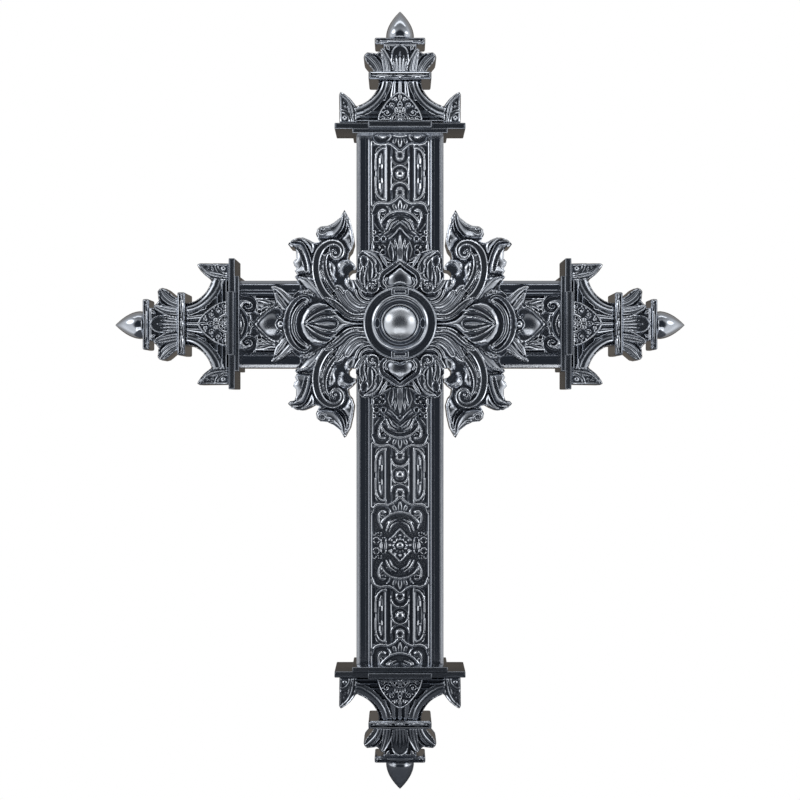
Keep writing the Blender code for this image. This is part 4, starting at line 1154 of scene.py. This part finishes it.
bm = chased_sheet((-17.6, 17.6, 8.2, 32.0), 0.26, palmette_relief, 34.4, 31.2, palmette_depth)
on_every_arm("scrolled_palmette", bm, panel_silver, "palmette")


def collar_relief(half, low, high, lens):
    """A bowed bar: rounded across, sunk line above and below, with long lenses raised on it."""
    edge_depth = partial(inside_depth, [(-half, low), (half, low), (half, high), (-half, high)])
    middle = (low + high) / 2 - 0.4

    def relief(x, t):
        work = Chasing(np.abs(x), t, -0.9)
        for level in (low + 1.0, high - 1.0):
            work.wire([(0, level), (half - 1.0, level)], 0.55, -0.2)
        work.groove([(0, high - 2.1), (half - 1.6, high - 2.1)], 0.8, -2.0)
        for start, end, size in lens:
            spine = [(start, middle), ((start + end) / 2, middle), (end, middle)]
            work.leaf(spine, [0.3, size, 0.3], 0.5, 1.0, 0.0)
        work.wire([(half - 1.1, low + 0.8), (half - 1.1, high - 0.8)], 0.55, -0.2)
        return work.h - 0.9 * (1 - ramp(0, 0.9, edge_depth(x, t)))

    return relief


COLLAR_CORNER = 1.6
for name, node, half, low, high, back, front, lens in (
    ("lower_band", "lower_collar", 23.6, 40.7, 46.4, 1.0, 33.0, ((5.0, 21.6, 1.35), (-4.4, 4.4, 1.2))),
    ("upper_band", "upper_collar", 19.1, 68.9, 73.8, 5.0, 26.6, ((-17.4, 17.4, 1.1),)),
):
    in_x, in_low, in_high = half - COLLAR_CORNER, low + COLLAR_CORNER, high - COLLAR_CORNER
    outline = [
        *round_corner((half, in_low), (half, low), (in_x, low)),
        *round_corner((-in_x, low), (-half, low), (-half, in_low)),
        *round_corner((-half, in_high), (-half, high), (-in_x, high)),
        *round_corner((in_x, high), (half, high), (half, in_high)),
    ]
    box = (-half - 0.4, half + 0.4, low - 0.4, high + 0.4)
    shape = collar_relief(half, low, high, lens)
    middle = (front + back) / 2
    bm = chased_sheet(box, 0.34, shape, front, middle, partial(inside_depth, outline), True)
    on_every_arm(name, bm, terminal_silver, node)

cup_side = [
    (18.6, 46.6), (20.9, 48.7), (24.2, 52.6), (26.7, 55.6), (27.3, 58.4), (26.4, 61.0), (24.4, 62.0),
    (20.6, 61.6), (18.2, 61.4), (15.8, 63.3), (14.2, 64.7), (12.6, 65.1), (12.0, 68.6),
]
cup_depth = partial(inside_depth, mirrored(cup_side))


def cup_relief(x, t):
    """Two pairs of leaves, the outer one curling away, and one broad leaf in the middle."""
    work = Chasing(np.abs(x), t, -2.2)
    curling = bend([(15.0, 46.0), (17.6, 52.0), (21.4, 56.6), (26.4, 60.2)])
    work.flutes(curling, [3.6, 4.0, 4.2, 2.2], 0.0, 3, 0.8, 0.9)
    work.wires(
        ([(18.6, 46.4), (21.4, 50.6), (25.0, 54.8), (26.9, 59.0)], 0.6, 0.3),
        ([(10.2, 49.0), (13.2, 55.6), (17.8, 60.4), (24.8, 61.4)], 0.7, 0.6),
    )
    standing = bend([(9.2, 46.0), (10.2, 53.4), (11.8, 59.6), (14.0, 64.4)])
    work.flutes(standing, [3.2, 3.6, 3.2, 0.9], 0.6, 3, 0.8, 0.8)
    work.wire(bend([(5.6, 51.0), (7.8, 57.6), (11.0, 63.0), (13.4, 64.7)]), 0.6, 0.9)
    work.band([(12.4, 67.4), (0, 67.4)], 1.3, 0.3, 0.5, 0.5)
    work.leaf(bend([(9.6, 66.2), (8.0, 63.6)]), [1.0, 1.6, 0.6], 0.9, 1.0, 0)
    half = [(5.6, 46.4), (6.4, 51.4), (6.9, 57.0), (6.5, 62.0), (4.6, 65.6), (0, 67.8)]
    ogive = bend(mirrored(half), steps=4)
    work.pad(ogive, 1.5, 1.0, 0.8, 1.0, 1.4)
    for foot, tip in ((0, 0), (1.9, 2.8), (3.8, 5.0)):
        work.wire([(foot, 46.0), (tip, 61.6 - tip * 0.9)], [1.05, 1.15, 0.4], 1.4, 0.8)
    return work.h - 1.2 * (1 - ramp(0.0, 0.9, cup_depth(x, t)))


bm = chased_sheet((-27.8, 27.8, 46.2, 69.0), 0.34, cup_relief, 28.0, 17.25, cup_depth, True)
on_every_arm("leafy_cup", bm, terminal_silver, "leaf_cup")

bud_tip, bud_length, bud_radius = 96.5, 21.4, 10.6
bud_profile = [(0.0, bud_tip)]
for step in range(1, 33):
    down = step / 32
    swell = bud_radius * math.sin(math.pi / 2 * min(down / 0.94, 1.0) ** 0.92)
    waist = 0.5 * max((down - 0.86) / 0.14, 0.0) ** 2
    bud_profile.append((swell - waist, bud_tip - bud_length * down))
bud_profile += [*round_corner((10.1, 75.0), (9.9, 74.1), (9.2, 74.1), 4), (0.0, 74.1)]
bm = turned_bmesh(bud_profile, 72)
bmesh.ops.transform(bm, matrix=Matrix.Rotation(math.radians(-90), 4, "X"), verts=bm.verts)
bmesh.ops.translate(bm, vec=(0, -16.0 * MM, 0), verts=bm.verts)
on_every_arm("turned_bud", bm, boss_silver, "finial_bud", None)


def grooved_block(size_low, size_high, bevel, border, sunk):
    """A rounded block with a long sunk panel in its front."""
    bm = rounded_block(size_low, size_high, bevel)
    front = [face for face in bm.faces if face.normal.y < -0.99]
    bmesh.ops.inset_region(bm, faces=front, thickness=border * MM, depth=0)
    bmesh.ops.inset_region(bm, faces=front, thickness=0.35 * MM, depth=-sunk * MM)
    return bm


for name, low, high, node, border in (
    ("foot_step", (-35.6, 0.6, 0.0), (35.6, 33.5, 3.7), "base_plate", 0.35),
    ("foot_plate", (-48.9, 1.0, 3.5), (48.9, 32.0, 8.2), None, 0.45),
    ("foot_block", (-23.7, 28.0, 3.5), (23.7, 38.0, 8.1), None, 0.45),
):
    bm = grooved_block(low, high, 0.7, border, 0.5)
    on_every_arm(name, bm, terminal_silver, node, None)

# --- Stage ----------------------------------------------------------------------------------------
# A plain pale floor under the lowest bud, soft studio light and the camera.


def world_light():
    """A white room to look at, and round the metal a dark one with soft bright panels."""
    world = bpy.data.worlds.new("studio")
    bpy.context.scene.world = world
    world.use_nodes = True
    tree = world.node_tree
    tree.nodes.clear()
    direction = add_node(tree, "ShaderNodeTexCoord").outputs["Generated"]

    def facing(x, y, z, low, high):
        """1 towards a direction, falling to 0 between two cosines."""
        size = math.sqrt(x * x + y * y + z * z)
        along = add_node(
            tree,
            "ShaderNodeVectorMath",
            {"operation": "DOT_PRODUCT"},
            {0: direction, 1: (x / size, y / size, z / size)},
        ).outputs["Value"]
        return add_node(
            tree,
            "ShaderNodeMapRange",
            {"interpolation_type": "SMOOTHSTEP"},
            {"Value": along, "From Min": low, "From Max": high},
        ).outputs["Result"]

    front = facing(0, -1, 0, -0.5, 0.3)
    near_ring = math_node(tree, "MULTIPLY", facing(0, -1, 0, -0.30, 0.25), facing(0, 1, 0, -0.87, -0.70))
    far_ring = math_node(tree, "MULTIPLY", facing(0, -1, 0, -0.80, -0.50), facing(0, 1, 0, -0.45, -0.10))
    below = math_node(tree, "MULTIPLY_ADD", facing(0, 0, -1, -0.35, 0.3), 0.30, 0.5)
    above = math_node(tree, "MULTIPLY_ADD", facing(0, 0, 1, 0.45, 0.85), -0.60, 1.0)
    below = math_node(tree, "MULTIPLY", below, above)
    light = math_node(tree, "MULTIPLY", far_ring, 0.24)
    light = math_node(tree, "MULTIPLY_ADD", near_ring, below, light)
    for panel, strength in (
        ((-0.78, -0.50, 0.38, 0.95, 0.975), 1.8),
        ((0.80, -0.52, 0.26, 0.96, 0.98), 1.6),
    ):
        light = math_node(tree, "MULTIPLY_ADD", facing(*panel), strength, light)

    def between(axis, low, high, soft):
        """1 where a direction's part along an axis lies between two values."""
        above = facing(*axis, low - soft, low + soft)
        return math_node(tree, "SUBTRACT", above, facing(*axis, high - soft, high + soft))

    across, up, depth = (1, 0, 0), (0, 0, 1), (0, 1, 0)
    wide, tall = between(across, -0.42, 0.36, 0.02), between(up, -0.76, -0.36, 0.02)
    window = math_node(tree, "MULTIPLY", wide, tall)
    left_bar, right_bar = between(across, -0.18, -0.15, 0.01), between(across, 0.08, 0.11, 0.01)
    mullions = math_node(tree, "ADD", left_bar, right_bar)
    mullions = math_node(tree, "ADD", mullions, between(up, -0.57, -0.54, 0.01))
    panes = math_node(tree, "MULTIPLY", window, math_node(tree, "SUBTRACT", 1.0, mullions))
    panes = math_node(tree, "MULTIPLY", panes, facing(0, -1, 0, 0.1, 0.2))
    light = math_node(tree, "MULTIPLY_ADD", panes, 1.6, light)
    strip = math_node(tree, "MULTIPLY", between(depth, -0.36, -0.20, 0.03), facing(0, 0, 1, 0.74, 0.80))
    light = math_node(tree, "MULTIPLY_ADD", strip, 1.3, light)
    ground = blended(tree, front, (0.135, 0.118, 0.10, 1.0), (0.026, 0.031, 0.039, 1.0))
    tint = {0: (0.99, 1.0, 1.01), "Scale": light}
    lamps = add_node(tree, "ShaderNodeVectorMath", {"operation": "SCALE"}, tint).outputs["Vector"]
    glow = blended(tree, 1.0, ground, lamps, "ADD")
    room = add_node(tree, "ShaderNodeBackground", values={"Color": glow})
    white = add_node(
        tree, "ShaderNodeBackground", values={"Color": (1, 1, 1, 1), "Strength": 1.0}
    )
    seen = add_node(tree, "ShaderNodeLightPath")
    mixed = add_node(
        tree,
        "ShaderNodeMixShader",
        values={0: seen.outputs["Is Camera Ray"], 1: room.outputs[0], 2: white.outputs[0]},
    )
    add_node(tree, "ShaderNodeOutputWorld", values={"Surface": mixed.outputs[0]})


world_light()

bm = bmesh.new()
bmesh.ops.create_circle(bm, cap_ends=True, segments=64, radius=0.42)
bmesh.ops.translate(bm, vec=(0, 0, cad_box[0][2] - 0.5 * MM), verts=bm.verts)
floor_data = bpy.data.meshes.new("floor")
bm.to_mesh(floor_data)
bm.free()
floor = bpy.data.objects.new("floor", floor_data)
bpy.context.scene.collection.objects.link(floor)
floor_material, floor_shader = node_material("pale_floor", (0.16, 0.17, 0.19), 0.8, 0.0)
tree = floor_material.node_tree
glow = add_node(tree, "ShaderNodeEmission", values={"Color": (1, 1, 1, 1), "Strength": 1.0})
seen = add_node(tree, "ShaderNodeLightPath")
shown = add_node(
    tree,
    "ShaderNodeMixShader",
    values={0: seen.outputs["Is Camera Ray"], 1: floor_shader.outputs[0], 2: glow.outputs[0]},
)
tree.links.new(shown.outputs[0], tree.nodes["Material Output"].inputs["Surface"])
floor_data.materials.append(floor_material)

VIEW_DISTANCE, VIEW_HEIGHT = 0.860, -0.05685
lens = bpy.data.cameras.new("camera")
lens.lens = 50
lens.sensor_width = 36
camera = bpy.data.objects.new("camera", lens)
bpy.context.scene.collection.objects.link(camera)
camera.location = (0, -VIEW_DISTANCE, VIEW_HEIGHT)
camera.rotation_euler = (math.radians(90), 0, 0)
bpy.context.scene.camera = camera
bpy.context.scene.view_settings.view_transform = "Standard"
